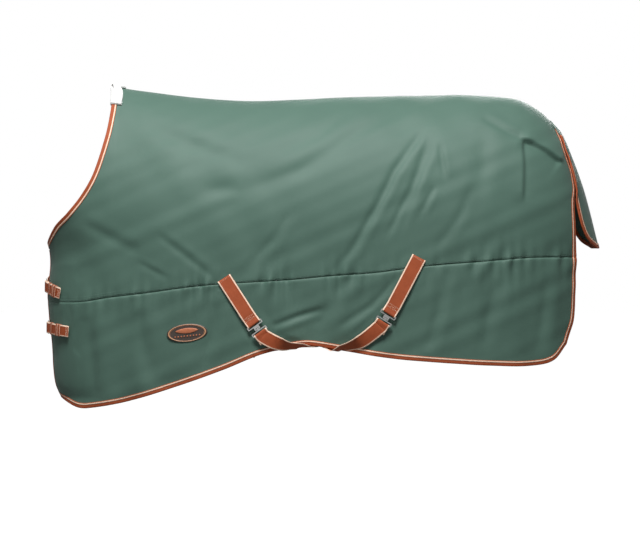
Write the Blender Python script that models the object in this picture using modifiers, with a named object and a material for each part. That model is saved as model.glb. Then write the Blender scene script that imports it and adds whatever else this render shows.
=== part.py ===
"""Turnout rug as it hangs on a horse: shell, lining, bindings, flap, surcingles and chest fastenings.

Metres, +Z up, head towards -X, the horse's left (near) side towards -Y. The origin is on the
spine at mid back. One side of the rug is one grid of columns (front to rear) and rows (spine to
hem); every sewn layer is a stretch of that grid, moved along its normals and made thick.
"""
import math

import bmesh
import bpy
from mathutils import Matrix, Vector

# Driving dimensions, in metres. The pattern curves are drawn at the pattern size and graded to these.
BODY_LENGTH = 1.829
BODY_DEPTH = 1.107
BODY_HALF_WIDTH = 0.335
PATTERN_LENGTH = 1.829
PATTERN_DEPTH = 1.107
FRONT_GAP = 0.020
SHELL = 0.0012
LINING = 0.0008
LAYER_GAP = 0.0005
SEAM_GAP = 0.0005
BINDING = 0.0012
BINDING_WIDTH = 0.020
EDGE_GAP = 0.0006
FLEECE = 0.008
FLEECE_WIDTH = 0.045
FLEECE_CLEAR = 0.0007
FLEECE_COLUMNS = 2
WEBBING_WIDTH = 0.050
WEBBING = 0.0018
CLIP_PLATE = 0.0024
CLIP_BAR = 0.0035
CLIP_SLOT = 0.0065
CLIP_REACH = 0.019
LOOP_CLEAR = 0.0006
RETURN_LENGTH = 0.035
CLIP_EYE = 0.0015
CLIP_TONGUE = 0.021
HOOK_GAP = 0.0009
SHANK_WIDTH = 0.006
HEAD_WIDTH = 0.0150
CHEST_WEBBING_WIDTH = 0.038
BUCKLE_WIRE = 0.0016
BUCKLE_REACH = 0.024
RING_WIRE = 0.0035
RING_WIDTH = 0.040
RING_DEPTH = 0.026
FLAP_HALF = 0.165
FLAP_CLEAR = 0.0010
PATCH_LENGTH = 0.140
PATCH_HEIGHT = 0.062
PATCH = 0.0015
PATCH_AT = (-0.450, -0.812)
PATCH_TILT = 6
PATCH_STAND = 0.0
PATCH_POINTS = 28
FIT = 0.0003

# Pattern curves: (along, up) at the pattern size.
TOP_LINE = [(-1.0, 0.200), (-0.80, 0.085), (-0.695, 0.035), (-0.595, 0.021), (-0.42, 0.0),
            (-0.245, -0.0105), (-0.07, -0.005), (0.105, 0.0035), (0.28, 0.007), (0.49, 0.0105),
            (0.63, 0.0035), (0.70, -0.009), (0.77, -0.049), (0.8155, -0.0945), (0.845, -0.142),
            (0.875, -0.225), (0.905, -0.34)]
HEM = [(-0.904, -1.041), (-0.835, -1.072), (-0.783, -1.071), (-0.654, -1.045), (-0.488, -0.993),
       (-0.325, -0.934), (-0.203, -0.884), (-0.09, -0.857), (-0.034, -0.852), (0.081, -0.870),
       (0.243, -0.896), (0.406, -0.910), (0.608, -0.922), (0.73, -0.919), (0.786, -0.897),
       (0.829, -0.850)]
SIDE_SEAM = [(-0.95, -0.712), (-0.82, -0.710), (-0.725, -0.695), (-0.603, -0.680), (-0.399, -0.653),
             (-0.091, -0.6295), (0.034, -0.6125), (0.183, -0.599), (0.365, -0.573), (0.561, -0.567),
             (0.705, -0.5585), (0.876, -0.556)]
# Pattern curves: (up, along).
NECKLINE = [(-0.510, -0.950), (-0.4515, -0.924), (-0.406, -0.882), (-0.35, -0.840),
            (-0.2765, -0.798), (-0.147, -0.756), (-0.0315, -0.722), (0.035, -0.695)]
CHEST_LINE = [(-1.041, -0.904), (-0.9975, -0.923), (-0.938, -0.931), (-0.8575, -0.935),
              (-0.712, -0.950), (-0.510, -0.950), (-0.35, -1.07), (0.0, -1.33), (0.20, -1.47)]
REAR_EDGE = [(-0.850, 0.829), (-0.770, 0.861), (-0.645, 0.876), (-0.556, 0.876), (-0.367, 0.873),
             (-0.322, 0.876), (-0.266, 0.868), (-0.223, 0.855), (-0.185, 0.842), (-0.144, 0.833),
             (-0.0945, 0.8155)]
# Body shape: half width as a share of the greatest, and the roundness of the back, along the body.
WIDTH_SHARE = [(-0.95, 0.78), (-0.70, 0.80), (-0.45, 0.90), (-0.10, 1.0), (0.35, 1.0), (0.65, 0.96),
               (0.90, 0.92)]
BACK_ROUND = [(-0.95, 1.7), (-0.70, 1.75), (-0.45, 1.95), (0.0, 2.15), (0.60, 2.2), (0.90, 2.1)]
WIDEST_UP = -0.50
HANG_TUCK = 0.05
CHEST_CENTRE = -0.45
CHEST_ROUND = 2.2
RUMP_CENTRE = 0.42
RUMP_REACH = 0.945
RUMP_ROUND = 2.6
WITHERS = -0.695
DOCK = 0.8155

# Grid: shares of the way along each stretch.
FRONT_SHARES = [0.15, 0.30, 0.46, 0.62, 0.77, 0.885, 0.945, 1.0]
BACK_COLUMNS = 14
UPPER_SHARES = [0.0, 0.035, 0.12, 0.24, 0.40, 0.58, 0.79, 1.0]
LOWER_SHARES = [0.0, 0.34, 0.67, 1.0]
WITHERS_COLUMN = len(FRONT_SHARES) + 1
SEAM_ROW = len(UPPER_SHARES)
HEM_ROW = SEAM_ROW + 1 + len(LOWER_SHARES)
UPPER_ROWS = list(range(SEAM_ROW + 1))
LOWER_ROWS = list(range(SEAM_ROW + 1, HEM_ROW + 1))
ALL_ROWS = UPPER_ROWS + LOWER_ROWS[1:]
NEAR = -1
OFF = 1

BLOCKS = {
    "green_fabric": ((0.070, 0.135, 0.100), 0.55, 0.0),
    "lining_fabric": ((0.045, 0.060, 0.055), 0.6, 0.0),
    "copper_webbing": ((0.400, 0.085, 0.025), 0.7, 0.0),
    "fleece": ((0.80, 0.80, 0.77), 0.95, 0.0),
    "steel": ((0.62, 0.62, 0.62), 0.25, 1.0),
    "leather_patch": ((0.22, 0.070, 0.030), 0.6, 0.0),
}


def graded_along(value):
    return value * BODY_LENGTH / PATTERN_LENGTH


def graded_up(value):
    return value * BODY_DEPTH / PATTERN_DEPTH


def curve_at(points, at):
    """Smooth cubic through (at, value) points, straight beyond the ends."""
    points = sorted(points)
    if at <= points[0][0]:
        return points[0][1]
    if at >= points[-1][0]:
        return points[-1][1]
    index = max(i for i in range(len(points) - 1) if points[i][0] <= at)
    slopes = []
    for i in (index, index + 1):
        low = points[max(i - 1, 0)]
        high = points[min(i + 1, len(points) - 1)]
        slopes.append((high[1] - low[1]) / (high[0] - low[0]))
    (x0, y0), (x1, y1) = points[index], points[index + 1]
    span = x1 - x0
    t = (at - x0) / span
    hold = (2 * t**3 - 3 * t**2 + 1) * y0 + (3 * t**2 - 2 * t**3) * y1
    return hold + span * ((t**3 - 2 * t**2 + t) * slopes[0] + (t**3 - t**2) * slopes[1])


def along_curve(points, x):
    """Height of a (along, up) pattern curve at graded x."""
    return graded_up(curve_at(points, x * PATTERN_LENGTH / BODY_LENGTH))


def up_curve(points, z):
    """Position along the body of an (up, along) pattern curve at graded z."""
    return graded_along(curve_at(points, z * PATTERN_DEPTH / BODY_DEPTH))


def rounded(share, power):
    share = min(max(share, 0.0), 1.0)
    return (1 - share**power) ** (1 / power)


def half_width(x, z):
    """Half width of the covered body at a point of the side view."""
    widest = graded_up(WIDEST_UP)
    at = x * PATTERN_LENGTH / BODY_LENGTH
    top = along_curve(TOP_LINE, x)
    back = rounded((z - widest) / (top - widest), curve_at(BACK_ROUND, at))
    centre = graded_along(CHEST_CENTRE)
    chest = rounded((centre - x) / (centre - up_curve(CHEST_LINE, z)), CHEST_ROUND)
    start = graded_along(RUMP_CENTRE)
    rump = rounded((x - start) / (graded_along(RUMP_REACH) - start), RUMP_ROUND)
    drop = max(0.0, (widest - z) / BODY_DEPTH)
    share = curve_at(WIDTH_SHARE, at) * (1 - HANG_TUCK * (2 * drop) ** 2)
    return BODY_HALF_WIDTH * share * back * chest * rump


def surface(side, x, z, front=0.0):
    width = math.hypot(half_width(x, z), FRONT_GAP / 2 * front)
    return Vector((x, side * width, z))


def front_reach_share():
    """Share of the front stretch whose surface distance from the front edge is the binding width."""
    z = graded_up(SIDE_SEAM[0][1])
    edge = up_curve(CHEST_LINE, z)
    share = 0.0
    while half_width(edge + front_span(edge) * share**1.8, z) < BINDING_WIDTH:
        share += 0.002
    return share


def front_span(edge):
    return graded_along(WITHERS) - edge


def columns():
    """(is front, share) of each column, from the front edge to the rear edge."""
    front = [(True, 0.0), (True, front_reach_share())] + [(True, share) for share in FRONT_SHARES]
    back_length = graded_along(DOCK - WITHERS)
    last = 1 - BINDING_WIDTH / back_length
    start = FLEECE_WIDTH / back_length
    back = [(False, start + (last - start) * i / BACK_COLUMNS) for i in range(BACK_COLUMNS + 1)]
    return front + back + [(False, 1.0)]


def boundary_x(column, front_x, rear_x):
    is_front, share = column
    withers = graded_along(WITHERS)
    if is_front:
        return front_x + (withers - front_x) * share**1.8
    return withers + (rear_x - withers) * share


def top_boundary(column):
    is_front, share = column
    if is_front:
        low = graded_up(NECKLINE[0][0])
        z = low + (graded_up(NECKLINE[-1][0]) - low) * share**1.4
        return up_curve(NECKLINE, z), z
    x = boundary_x(column, 0, graded_along(DOCK))
    return x, along_curve(TOP_LINE, x)


def line_boundary(points, column):
    x = boundary_x(column, graded_along(points[0][0]), graded_along(points[-1][0]))
    return x, along_curve(points, x)


def between(column_index, t, top, bottom, left_curve, right_curve, count):
    """Point of the patch between two boundary curves and two edge curves (a Coons patch)."""
    x_top, z_top = top[column_index]
    x_low, z_low = bottom[column_index]
    x = x_top + (x_low - x_top) * t
    z = z_top + (z_low - z_top) * t
    start, end = bottom[0][0], bottom[-1][0]
    share = (bottom[column_index][0] - start) / (end - start)
    for weight, curve, index in ((1 - share, left_curve, 0), (share, right_curve, count - 1)):
        (x0, z0), (x1, z1) = top[index], bottom[index]
        level = z0 + (z1 - z0) * t
        x += weight * (up_curve(curve, level) - (x0 + (x1 - x0) * t))
    return x, z


def row_shares(shares, first, last):
    """Shares of the way down one patch, with rows at the given distances from its two ends."""
    start, end = first, 1 - last
    return [start + (end - start) * share for share in shares]


def build_grid():
    """Points of both sides and their outward normals, by (side, column, row)."""
    cols = columns()
    count = len(cols)
    tops = [top_boundary(c) for c in cols]
    seams = [line_boundary(SIDE_SEAM, c) for c in cols]
    hems = [line_boundary(HEM, c) for c in cols]
    points = {}
    for index, (is_front, share) in enumerate(cols):
        front = (1 - share) ** 2 if is_front else 0.0
        height = tops[index][1] - seams[index][1]
        upper = [0.0] + row_shares(UPPER_SHARES, BINDING_WIDTH / height, 0.0)
        drop = seams[index][1] - hems[index][1]
        lower = row_shares(LOWER_SHARES, SEAM_GAP / drop, BINDING_WIDTH / drop) + [1.0]
        side_view = [between(index, t, tops, seams, CHEST_LINE if t else NECKLINE, REAR_EDGE, count)
                     for t in upper]
        side_view += [between(index, t, seams, hems, CHEST_LINE, REAR_EDGE, count) for t in lower]
        for row, (x, z) in enumerate(side_view):
            for side in (NEAR, OFF):
                points[(side, index, row)] = surface(side, x, z, front)
            if row == 0 and index >= WITHERS_COLUMN:
                spine = Vector((x, 0.0, z))
                points[(NEAR, index, 0)] = spine
                points[(OFF, index, 0)] = spine
    return points, count


def cells(side, column_list, row_list):
    """Outward-facing triangles, as grid keys, over consecutive entries of the two lists."""
    found = []
    for c0, c1 in zip(column_list, column_list[1:]):
        for r0, r1 in zip(row_list, row_list[1:]):
            a, b, c, d = (side, c0, r0), (side, c1, r0), (side, c1, r1), (side, c0, r1)
            for face in ([a, b, c], [a, c, d]):
                found.append(face[::-1] if side == NEAR else face)
    return found


def clean_key(key):
    """One key for a spine point, which both sides share."""
    side, column, row = key
    return (0, column, 0) if row == 0 and column >= WITHERS_COLUMN else key


def grid_normals(points, count):
    mesh = bmesh.new()
    verts = {}
    for side in (NEAR, OFF):
        for quad in cells(side, list(range(count)), ALL_ROWS):
            corners = []
            for key in quad:
                key = clean_key(key)
                if key not in verts:
                    source = key if key[0] else (NEAR, key[1], 0)
                    verts[key] = mesh.verts.new(points[source])
                corners.append(verts[key])
            mesh.faces.new(corners)
    mesh.normal_update()
    normals = {key: vert.normal.copy() for key, vert in verts.items()}
    mesh.free()
    for side in (NEAR, OFF):
        for column in range(count):
            normals[(side, column, SEAM_ROW + 1)] = normals[(side, column, SEAM_ROW)]
            if column >= WITHERS_COLUMN:
                normals[(side, column, 0)] = normals[(0, column, 0)]
    return normals


def material(name):
    found = bpy.data.materials.get(name)
    if found:
        return found
    colour, rough, metal = BLOCKS[name]
    made = bpy.data.materials.new(name)
    made.use_nodes = True
    shader = made.node_tree.nodes["Principled BSDF"]
    shader.inputs["Base Color"].default_value = (*colour, 1)
    shader.inputs["Roughness"].default_value = rough
    shader.inputs["Metallic"].default_value = metal
    return made


def place(name, mesh, finish, parent=None):
    """A named part in the rug's collection. Its mesh is given in world space."""
    obj = bpy.data.objects.new(name, mesh)
    bpy.data.collections["turnout_rug"].objects.link(obj)
    mesh.materials.append(material(finish))
    if parent:
        mesh.transform(Matrix.Translation(-parent.location))
        obj.parent = parent
    return obj


def pivot(name, at):
    empty = bpy.data.objects.new(name, None)
    empty.location = at
    empty.empty_display_size = 0.03
    bpy.data.collections["turnout_rug"].objects.link(empty)
    return empty


def thicken(obj, thickness, offset, even=False):
    layer = obj.modifiers.new("thickness", "SOLIDIFY")
    layer.thickness = thickness
    layer.offset = offset
    layer.use_even_offset = even
    layer.use_quality_normals = False
    return obj


def mesh_from(quads, position):
    """Mesh of the quads, given as keys, with each key placed once by position(key)."""
    mesh = bmesh.new()
    verts = {}
    for quad in quads:
        corners = []
        for key in quad:
            if key not in verts:
                verts[key] = mesh.verts.new(position(key))
            if verts[key] not in corners:
                corners.append(verts[key])
        if len(corners) > 2:
            mesh.faces.new(corners)
    made = bpy.data.meshes.new("sheet")
    mesh.to_mesh(made)
    mesh.free()
    return made


def sheet(grid, name, quads, depth, thickness, finish):
    """Cloth layer: its outer face lies depth inside the shell's outer face."""
    quads = [[clean_key(key) for key in quad] for quad in quads]

    def position(key):
        return point_at(grid, key) - normal_at(grid, key) * depth

    return thicken(place(name, mesh_from(quads, position), finish), thickness, -1)


def point_at(grid, key):
    return grid["points"][key if key[0] else (NEAR, key[1], 0)]


def normal_at(grid, key):
    return grid["normals"][key if key[0] else (NEAR, key[1], 0)]


def edge_outward(grid, faces, edge_keys):
    """Unit directions, at each edge key, that carry on the cloth's own surface past its edge."""
    outward = {}
    for key in edge_keys:
        inner = {other for face in faces if key in face for other in face} - set(edge_keys)
        away = Vector()
        for other in inner:
            away += (point_at(grid, key) - point_at(grid, other)).normalized()
        outward[key] = away.normalized()
    return outward


def wrap(grid, name, quads, edge_keys, over, under, thickness, finish):
    """A folded ribbon round a cloth edge: a layer over it, a layer under it and the fold."""
    quads = [[clean_key(key) for key in quad] for quad in quads]
    edge_keys = [clean_key(key) for key in edge_keys]
    outward = edge_outward(grid, quads, edge_keys)

    def position(tagged):
        layer, key = tagged
        offset = over if layer == "over" else -under
        at = point_at(grid, key) + normal_at(grid, key) * offset
        return at + outward[key] * EDGE_GAP if key in outward else at

    faces = [[("over", key) for key in quad] for quad in quads]
    faces += [[("under", key) for key in reversed(quad)] for quad in quads]
    used = {frozenset(pair) for quad in quads for pair in zip(quad, quad[1:] + quad[:1])}
    for a, b in zip(edge_keys, edge_keys[1:]):
        if frozenset((a, b)) not in used:
            continue
        fold = [("over", a), ("over", b), ("under", b), ("under", a)]
        for quad in quads:
            for c, d in zip(quad, quad[1:] + quad[:1]):
                if (c, d) == (a, b):
                    fold.reverse()
        faces.append(fold)
    return thicken(place(name, mesh_from(faces, position), finish), thickness, 1, even=True)


def make_cloth(grid):
    last = grid["count"] - 1
    every = list(range(grid["count"]))
    both = (NEAR, OFF)
    upper = [quad for side in both for quad in cells(side, every, UPPER_ROWS)]
    sheet(grid, "shell_upper", upper, 0.0, SHELL, "green_fabric")
    for side, word in ((NEAR, "left"), (OFF, "right")):
        sheet(grid, "shell_lower_" + word, cells(side, every, LOWER_ROWS), 0.0, SHELL, "green_fabric")
    whole = [quad for side in both for quad in cells(side, every, ALL_ROWS)]
    sheet(grid, "lining", whole, SHELL + LAYER_GAP, LINING, "lining_fabric")

    under = SHELL + LAYER_GAP + LINING + LAYER_GAP
    neck_end = WITHERS_COLUMN - 1
    edge_rows = [row for row in ALL_ROWS if row > 0]
    front_rows = edge_rows[1:]
    for side, word in ((NEAR, "left"), (OFF, "right")):
        neck = cells(side, list(range(neck_end + 1)), [0, 1])
        neck_edge = [(side, 0, 1)] + [(side, c, 0) for c in range(neck_end + 1)]
        wrap(grid, "neck_binding_" + word, neck, neck_edge, LAYER_GAP, under, BINDING,
             "copper_webbing")
        strips = cells(side, [0, 1], front_rows)
        strips += cells(side, every[1:], ALL_ROWS[-2:])
        strips += cells(side, [last - 1, last], front_rows[:-1])
        path = [(side, 0, row) for row in front_rows]
        path += [(side, column, HEM_ROW) for column in every[1:]]
        path += [(side, last, row) for row in reversed(front_rows[:-1])]
        wrap(grid, "edge_binding_" + word, strips, path, LAYER_GAP, under, BINDING, "copper_webbing")


def pad(grid, name, faces, low, high, finish):
    """Padded layer between two distances outside the shell's outer face."""
    faces = [[clean_key(key) for key in face] for face in faces]
    directed = {pair for face in faces for pair in zip(face, face[1:] + face[:1])}
    skin = [[(high, key) for key in face] for face in faces]
    skin += [[(low, key) for key in reversed(face)] for face in faces]
    for a, b in sorted(directed):
        if (b, a) not in directed:
            skin.append([(low, a), (low, b), (high, b), (high, a)])

    def position(tagged):
        distance, key = tagged
        return point_at(grid, key) + normal_at(grid, key) * distance

    return place(name, mesh_from(skin, position), finish)


def fleece_pads(grid):
    """Fleece on both faces of the neckline at the withers, over the ends of its binding."""
    first = WITHERS_COLUMN - FLEECE_COLUMNS
    faces = []
    for side in (NEAR, OFF):
        faces += cells(side, list(range(first, WITHERS_COLUMN + 2)), [0, 1, 2])
    over = LAYER_GAP + BINDING + FLEECE_CLEAR
    under = SHELL + LAYER_GAP + LINING + LAYER_GAP + BINDING + FLEECE_CLEAR
    pad(grid, "wither_fleece_outer", faces, over, over + FLEECE, "fleece")
    pad(grid, "wither_fleece_inner", faces, -under - FLEECE, -under, "fleece")


def smooth_step(value):
    value = min(max(value, 0.0), 1.0)
    return value * value * (3 - 2 * value)


def through(points, per_span):
    """Points on a smooth curve (Catmull-Rom) through the given points."""
    padded = [points[0] * 2 - points[1]] + list(points) + [points[-1] * 2 - points[-2]]
    found = []
    for p0, p1, p2, p3 in zip(padded, padded[1:], padded[2:], padded[3:]):
        for step in range(per_span):
            t = step / per_span
            found.append(0.5 * (2 * p1 + (p2 - p0) * t + (2 * p0 - 5 * p1 + 4 * p2 - p3) * t * t
                                + (3 * p1 - p0 - 3 * p2 + p3) * t**3))
    return found + [points[-1].copy()]


def frames_along(centres, across_list):
    """(centre, across, normal) at each centre, with across squared to the path."""
    frames = []
    for index, centre in enumerate(centres):
        tangent = centres[min(index + 1, len(centres) - 1)] - centres[max(index - 1, 0)]
        tangent.normalize()
        across = across_list[index] - tangent * across_list[index].dot(tangent)
        across.normalize()
        frames.append((centre, across, tangent.cross(across)))
    return frames


def ribbon(name, frames, width, thickness, finish):
    """Flat strap through the frames."""
    mesh = bmesh.new()
    rows = []
    for centre, across, _ in frames:
        rows.append([mesh.verts.new(centre + across * width / 2 * end) for end in (-1, 1)])
    for (a, b), (c, d) in zip(rows, rows[1:]):
        mesh.faces.new((a, b, d, c))
    made = bpy.data.meshes.new("ribbon")
    mesh.to_mesh(made)
    mesh.free()
    return thicken(place(name, made, finish), thickness, 0, even=True)


def bar_loop(bar, away, across, outer, back_frames, front_side):
    """Frames of a strap that comes to a bar, goes round it and returns.

    away points from the strap to the bar, front_side is the strap's outer normal, and back_frames
    are the (distance, height) pairs of the coming and of the returning layer."""
    frames = []
    coming, returning = back_frames
    for distance, height in coming:
        frames.append((bar - away * distance + front_side * height, across, front_side))
    for step in range(1, 8):
        angle = math.pi * step / 8
        spoke = front_side * math.cos(angle) + away * math.sin(angle)
        frames.append((bar + spoke * outer, across, spoke))
    for distance, height in returning:
        frames.append((bar - away * distance + front_side * height, across, -front_side))
    return frames


def loop_layers(outer, gap):
    """Heights of a doubled strap near its bar: spread by the bar, closing to one gap apart."""
    reach = [0.030, 0.024, 0.018, 0.012, 0.007, 0.003]
    coming = [(d, outer * (1 - smooth_step(d / 0.020))) for d in reach]
    closed = -(WEBBING + gap)
    returning = [(d, -outer + (outer + closed) * smooth_step(d / 0.020)) for d in reversed(reach)]
    return coming, returning + [(RETURN_LENGTH, closed)]


def plate_outline(name, splines, thickness, frame, finish, parent):
    """Flat plate from 2D outlines, in the plane of (along, across), centred on the frame's origin."""
    origin, along, across, normal = frame
    curve = bpy.data.curves.new(name, "CURVE")
    curve.dimensions = "2D"
    curve.fill_mode = "BOTH"
    curve.extrude = thickness / 2
    for outline in splines:
        spline = curve.splines.new("POLY")
        spline.points.add(len(outline) - 1)
        for point, (u, v) in zip(spline.points, outline):
            point.co = (u, v, 0, 1)
        spline.use_cyclic_u = True
    turn = Matrix((along, across, normal)).transposed().to_4x4()
    helper = bpy.data.objects.new(name + "_outline", curve)
    bpy.data.collections["cutters"].objects.link(helper)
    bpy.context.view_layer.update()
    graph = bpy.context.evaluated_depsgraph_get()
    mesh = bpy.data.meshes.new_from_object(helper.evaluated_get(graph))
    bpy.data.objects.remove(helper)
    work = bmesh.new()
    work.from_mesh(mesh)
    bmesh.ops.remove_doubles(work, verts=work.verts, dist=1e-6)
    bmesh.ops.recalc_face_normals(work, faces=work.faces)
    work.to_mesh(mesh)
    work.free()
    mesh.transform(Matrix.Translation(origin) @ turn)
    return place(name, mesh, finish, parent)


def rounded_box_outline(cu, cv, half_u, half_v, radius, steps=4):
    points = []
    for corner, (su, sv) in enumerate(((1, 1), (-1, 1), (-1, -1), (1, -1))):
        for step in range(steps + 1):
            angle = math.pi / 2 * (corner + step / steps)
            points.append((cu + su * (half_u - radius) + radius * math.cos(angle),
                           cv + sv * (half_v - radius) + radius * math.sin(angle)))
    return points


def box_piece(name, size, frame, finish, parent=None, collection="turnout_rug"):
    """Box of the given size along (along, across, normal) of the frame."""
    origin, along, across, normal = frame
    mesh = bpy.data.meshes.new(name)
    work = bmesh.new()
    bmesh.ops.create_cube(work, size=1.0)
    bmesh.ops.scale(work, vec=size, verts=work.verts)
    work.to_mesh(mesh)
    work.free()
    turn = Matrix((along, across, normal)).transposed().to_4x4()
    mesh.transform(Matrix.Translation(origin) @ turn)
    obj = place(name, mesh, finish, parent)
    if collection != "turnout_rug":
        bpy.data.collections["turnout_rug"].objects.unlink(obj)
        bpy.data.collections[collection].objects.link(obj)
        obj.hide_render = True
        obj.display_type = "WIRE"
    return obj


def cut(obj, cutter):
    step = obj.modifiers.new("cut", "BOOLEAN")
    step.operation = "DIFFERENCE"
    step.object = cutter


# Surcingles: side-view points are (along, up) at the pattern size.
SURCINGLES = {
    "front": {
        "top": (-0.322, -0.645), "clip": (-0.212, -0.795), "far_top": (0.334, -0.590),
        "lower": [((-0.172, -0.830), 0.0130, (0.55, -0.25, 0.80)),
                  ((-0.142, -0.862), 0.0190, (0.35, -0.72, 0.58))],
        "hem": [(-0.116, -0.004, (0.25, -0.95, 0.15)), (-0.086, 0.012, (0.55, -0.83, 0.0))],
        "dip": (-0.050, 0.060, 0.0035, (0.87, -0.49, 0.0)),
        "cross": (-0.006, 0.014), "far_hem": 0.262, "slide": 0.45,
    },
    "rear": {
        "top": (0.334, -0.585), "clip": (0.222, -0.760), "far_top": (-0.322, -0.670),
        "lower": [((0.179, -0.806), 0.013, (-0.75, -0.33, 0.55)),
                  ((0.145, -0.838), 0.013, (-0.60, -0.35, 0.70)),
                  ((0.110, -0.869), 0.0190, (-0.40, -0.72, 0.58))],
        "hem": [(0.082, -0.004, (-0.25, -0.95, 0.15)), (0.048, 0.013, (-0.55, -0.83, 0.0))],
        "dip": (0.020, 0.060, -0.004, (-0.87, -0.49, 0.0)),
        "cross": (-0.004, 0.004), "far_hem": -0.262, "slide": 0.50,
    },
}
SEW_CLEAR = 0.0038
CLIP_STAND = 0.011
HEM_CLEAR = 0.007
SLIDE_LENGTH = 0.012
SLIDE_WALL = 0.0025
SLIDE_CLEAR = 0.0008


def side_point(side, pattern_point, out):
    x, z = graded_along(pattern_point[0]), graded_up(pattern_point[1])
    return Vector((x, side * (half_width(x, z) + out), z))


def clip_frame(data):
    """Origin and axes of a clip: along runs down the strap, normal points away from the rug."""
    top = side_point(NEAR, data["top"], CLIP_STAND)
    origin = side_point(NEAR, data["clip"], CLIP_STAND)
    along = (origin - top).normalized()
    outward = Vector((0, -1, 0))
    normal = (outward - along * outward.dot(along)).normalized()
    return origin, along, normal.cross(along), normal


def upper_strap(name, data):
    origin, along, across, normal = clip_frame(data)
    outer = CLIP_BAR / 2 + LOOP_CLEAR + WEBBING / 2
    bar = origin - along * CLIP_REACH
    coming, returning = loop_layers(outer, FIT)
    loop = bar_loop(bar, along, across, outer, (coming, returning), normal)
    start = side_point(NEAR, data["top"], SEW_CLEAR)
    first = loop[0][0]
    run = []
    count = 5
    for step in range(count):
        share = step / count
        point = start.lerp(first, share)
        rest = SEW_CLEAR + (CLIP_STAND - SEW_CLEAR) * share
        limit = -(half_width(point.x, point.z) + rest)
        point.y = min(point.y, limit)
        run.append(point)
    frames = frames_along(run + [first], [across] * (count + 1))[:-1] + loop
    return ribbon(name, frames, WEBBING_WIDTH, WEBBING, "copper_webbing")


def hem_point(side, along_hem, inset, drop):
    """A point by the hem: inset towards the middle of the horse, drop below the edge."""
    x = graded_along(along_hem)
    z = along_curve(HEM, x)
    return Vector((x, side * (half_width(x, z) - inset), z - drop))


def lower_route(data):
    """Control points and across vectors of a lower strap, from its clip to the far seam."""
    route = [(side_point(NEAR, at, out), Vector(across)) for at, out, across in data["lower"]]
    for along_hem, inset, across in data["hem"]:
        route.append((hem_point(NEAR, along_hem, inset, HEM_CLEAR), Vector(across)))
    at, inset, drop, across = data["dip"]
    dip = hem_point(NEAR, at, inset, drop)
    route.append((dip, Vector(across)))
    cross_x, lift = data["cross"]
    low = along_curve(HEM, 0.0)
    near = Vector((graded_along(cross_x), -0.52 * BODY_HALF_WIDTH, low + lift))
    far = hem_point(OFF, data["far_hem"] * 0.93, 0.035, HEM_CLEAR)
    flat = Vector(across)
    for share in (0.0, 0.25, 0.5, 0.75, 1.0):
        route.append((near.lerp(far, share), flat))
    edge = hem_point(OFF, data["far_hem"], 0.001, HEM_CLEAR + 0.005)
    sideways = Vector((1 if across[0] > 0 else -1, 0, 0))
    route.append((edge, sideways))
    route.append((hem_point(OFF, data["far_hem"] * 1.02, -0.010, -0.010), sideways))
    top = side_point(OFF, data["far_top"], SEW_CLEAR)
    low_side = hem_point(OFF, data["far_hem"] * 1.04, -0.008, -0.050)
    for share in (0.0, 0.33, 0.67, 1.0):
        point = low_side.lerp(top, share)
        point.y = half_width(point.x, point.z) + 0.009 - (0.009 - SEW_CLEAR) * share
        route.append((point, sideways))
    return route, near, far, flat


def lower_strap(name, data):
    origin, along, across, normal = clip_frame(data)
    outer = CLIP_BAR / 2 + LOOP_CLEAR + WEBBING / 2
    bar = origin + along * CLIP_REACH
    coming, returning = loop_layers(outer, FIT)
    loop = bar_loop(bar, -along, across, outer, (coming, returning), normal)
    loop.reverse()
    loop = loop[:-1]
    route, near, far, flat = lower_route(data)
    head = [loop[-1][0]] + [point for point, _ in route]
    facing = across if across.z > 0 else -across
    sides = [facing] + [side for _, side in route]
    per_span = 3
    centres = through(head, per_span)
    blended = through(sides, per_span)
    tail = frames_along(centres, blended)
    flip = -1 if tail[0][1].dot(across) < 0 else 1
    tail = [(centre, side * flip, up) for centre, side, up in tail]
    frames = loop + tail[1:]
    ribbon(name, frames, WEBBING_WIDTH, WEBBING, "copper_webbing")
    direction = (far - near).normalized()
    side = (flat - direction * flat.dot(direction)).normalized()
    middle = near.lerp(far, data["slide"])
    return middle, direction, side, direction.cross(side)


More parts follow.
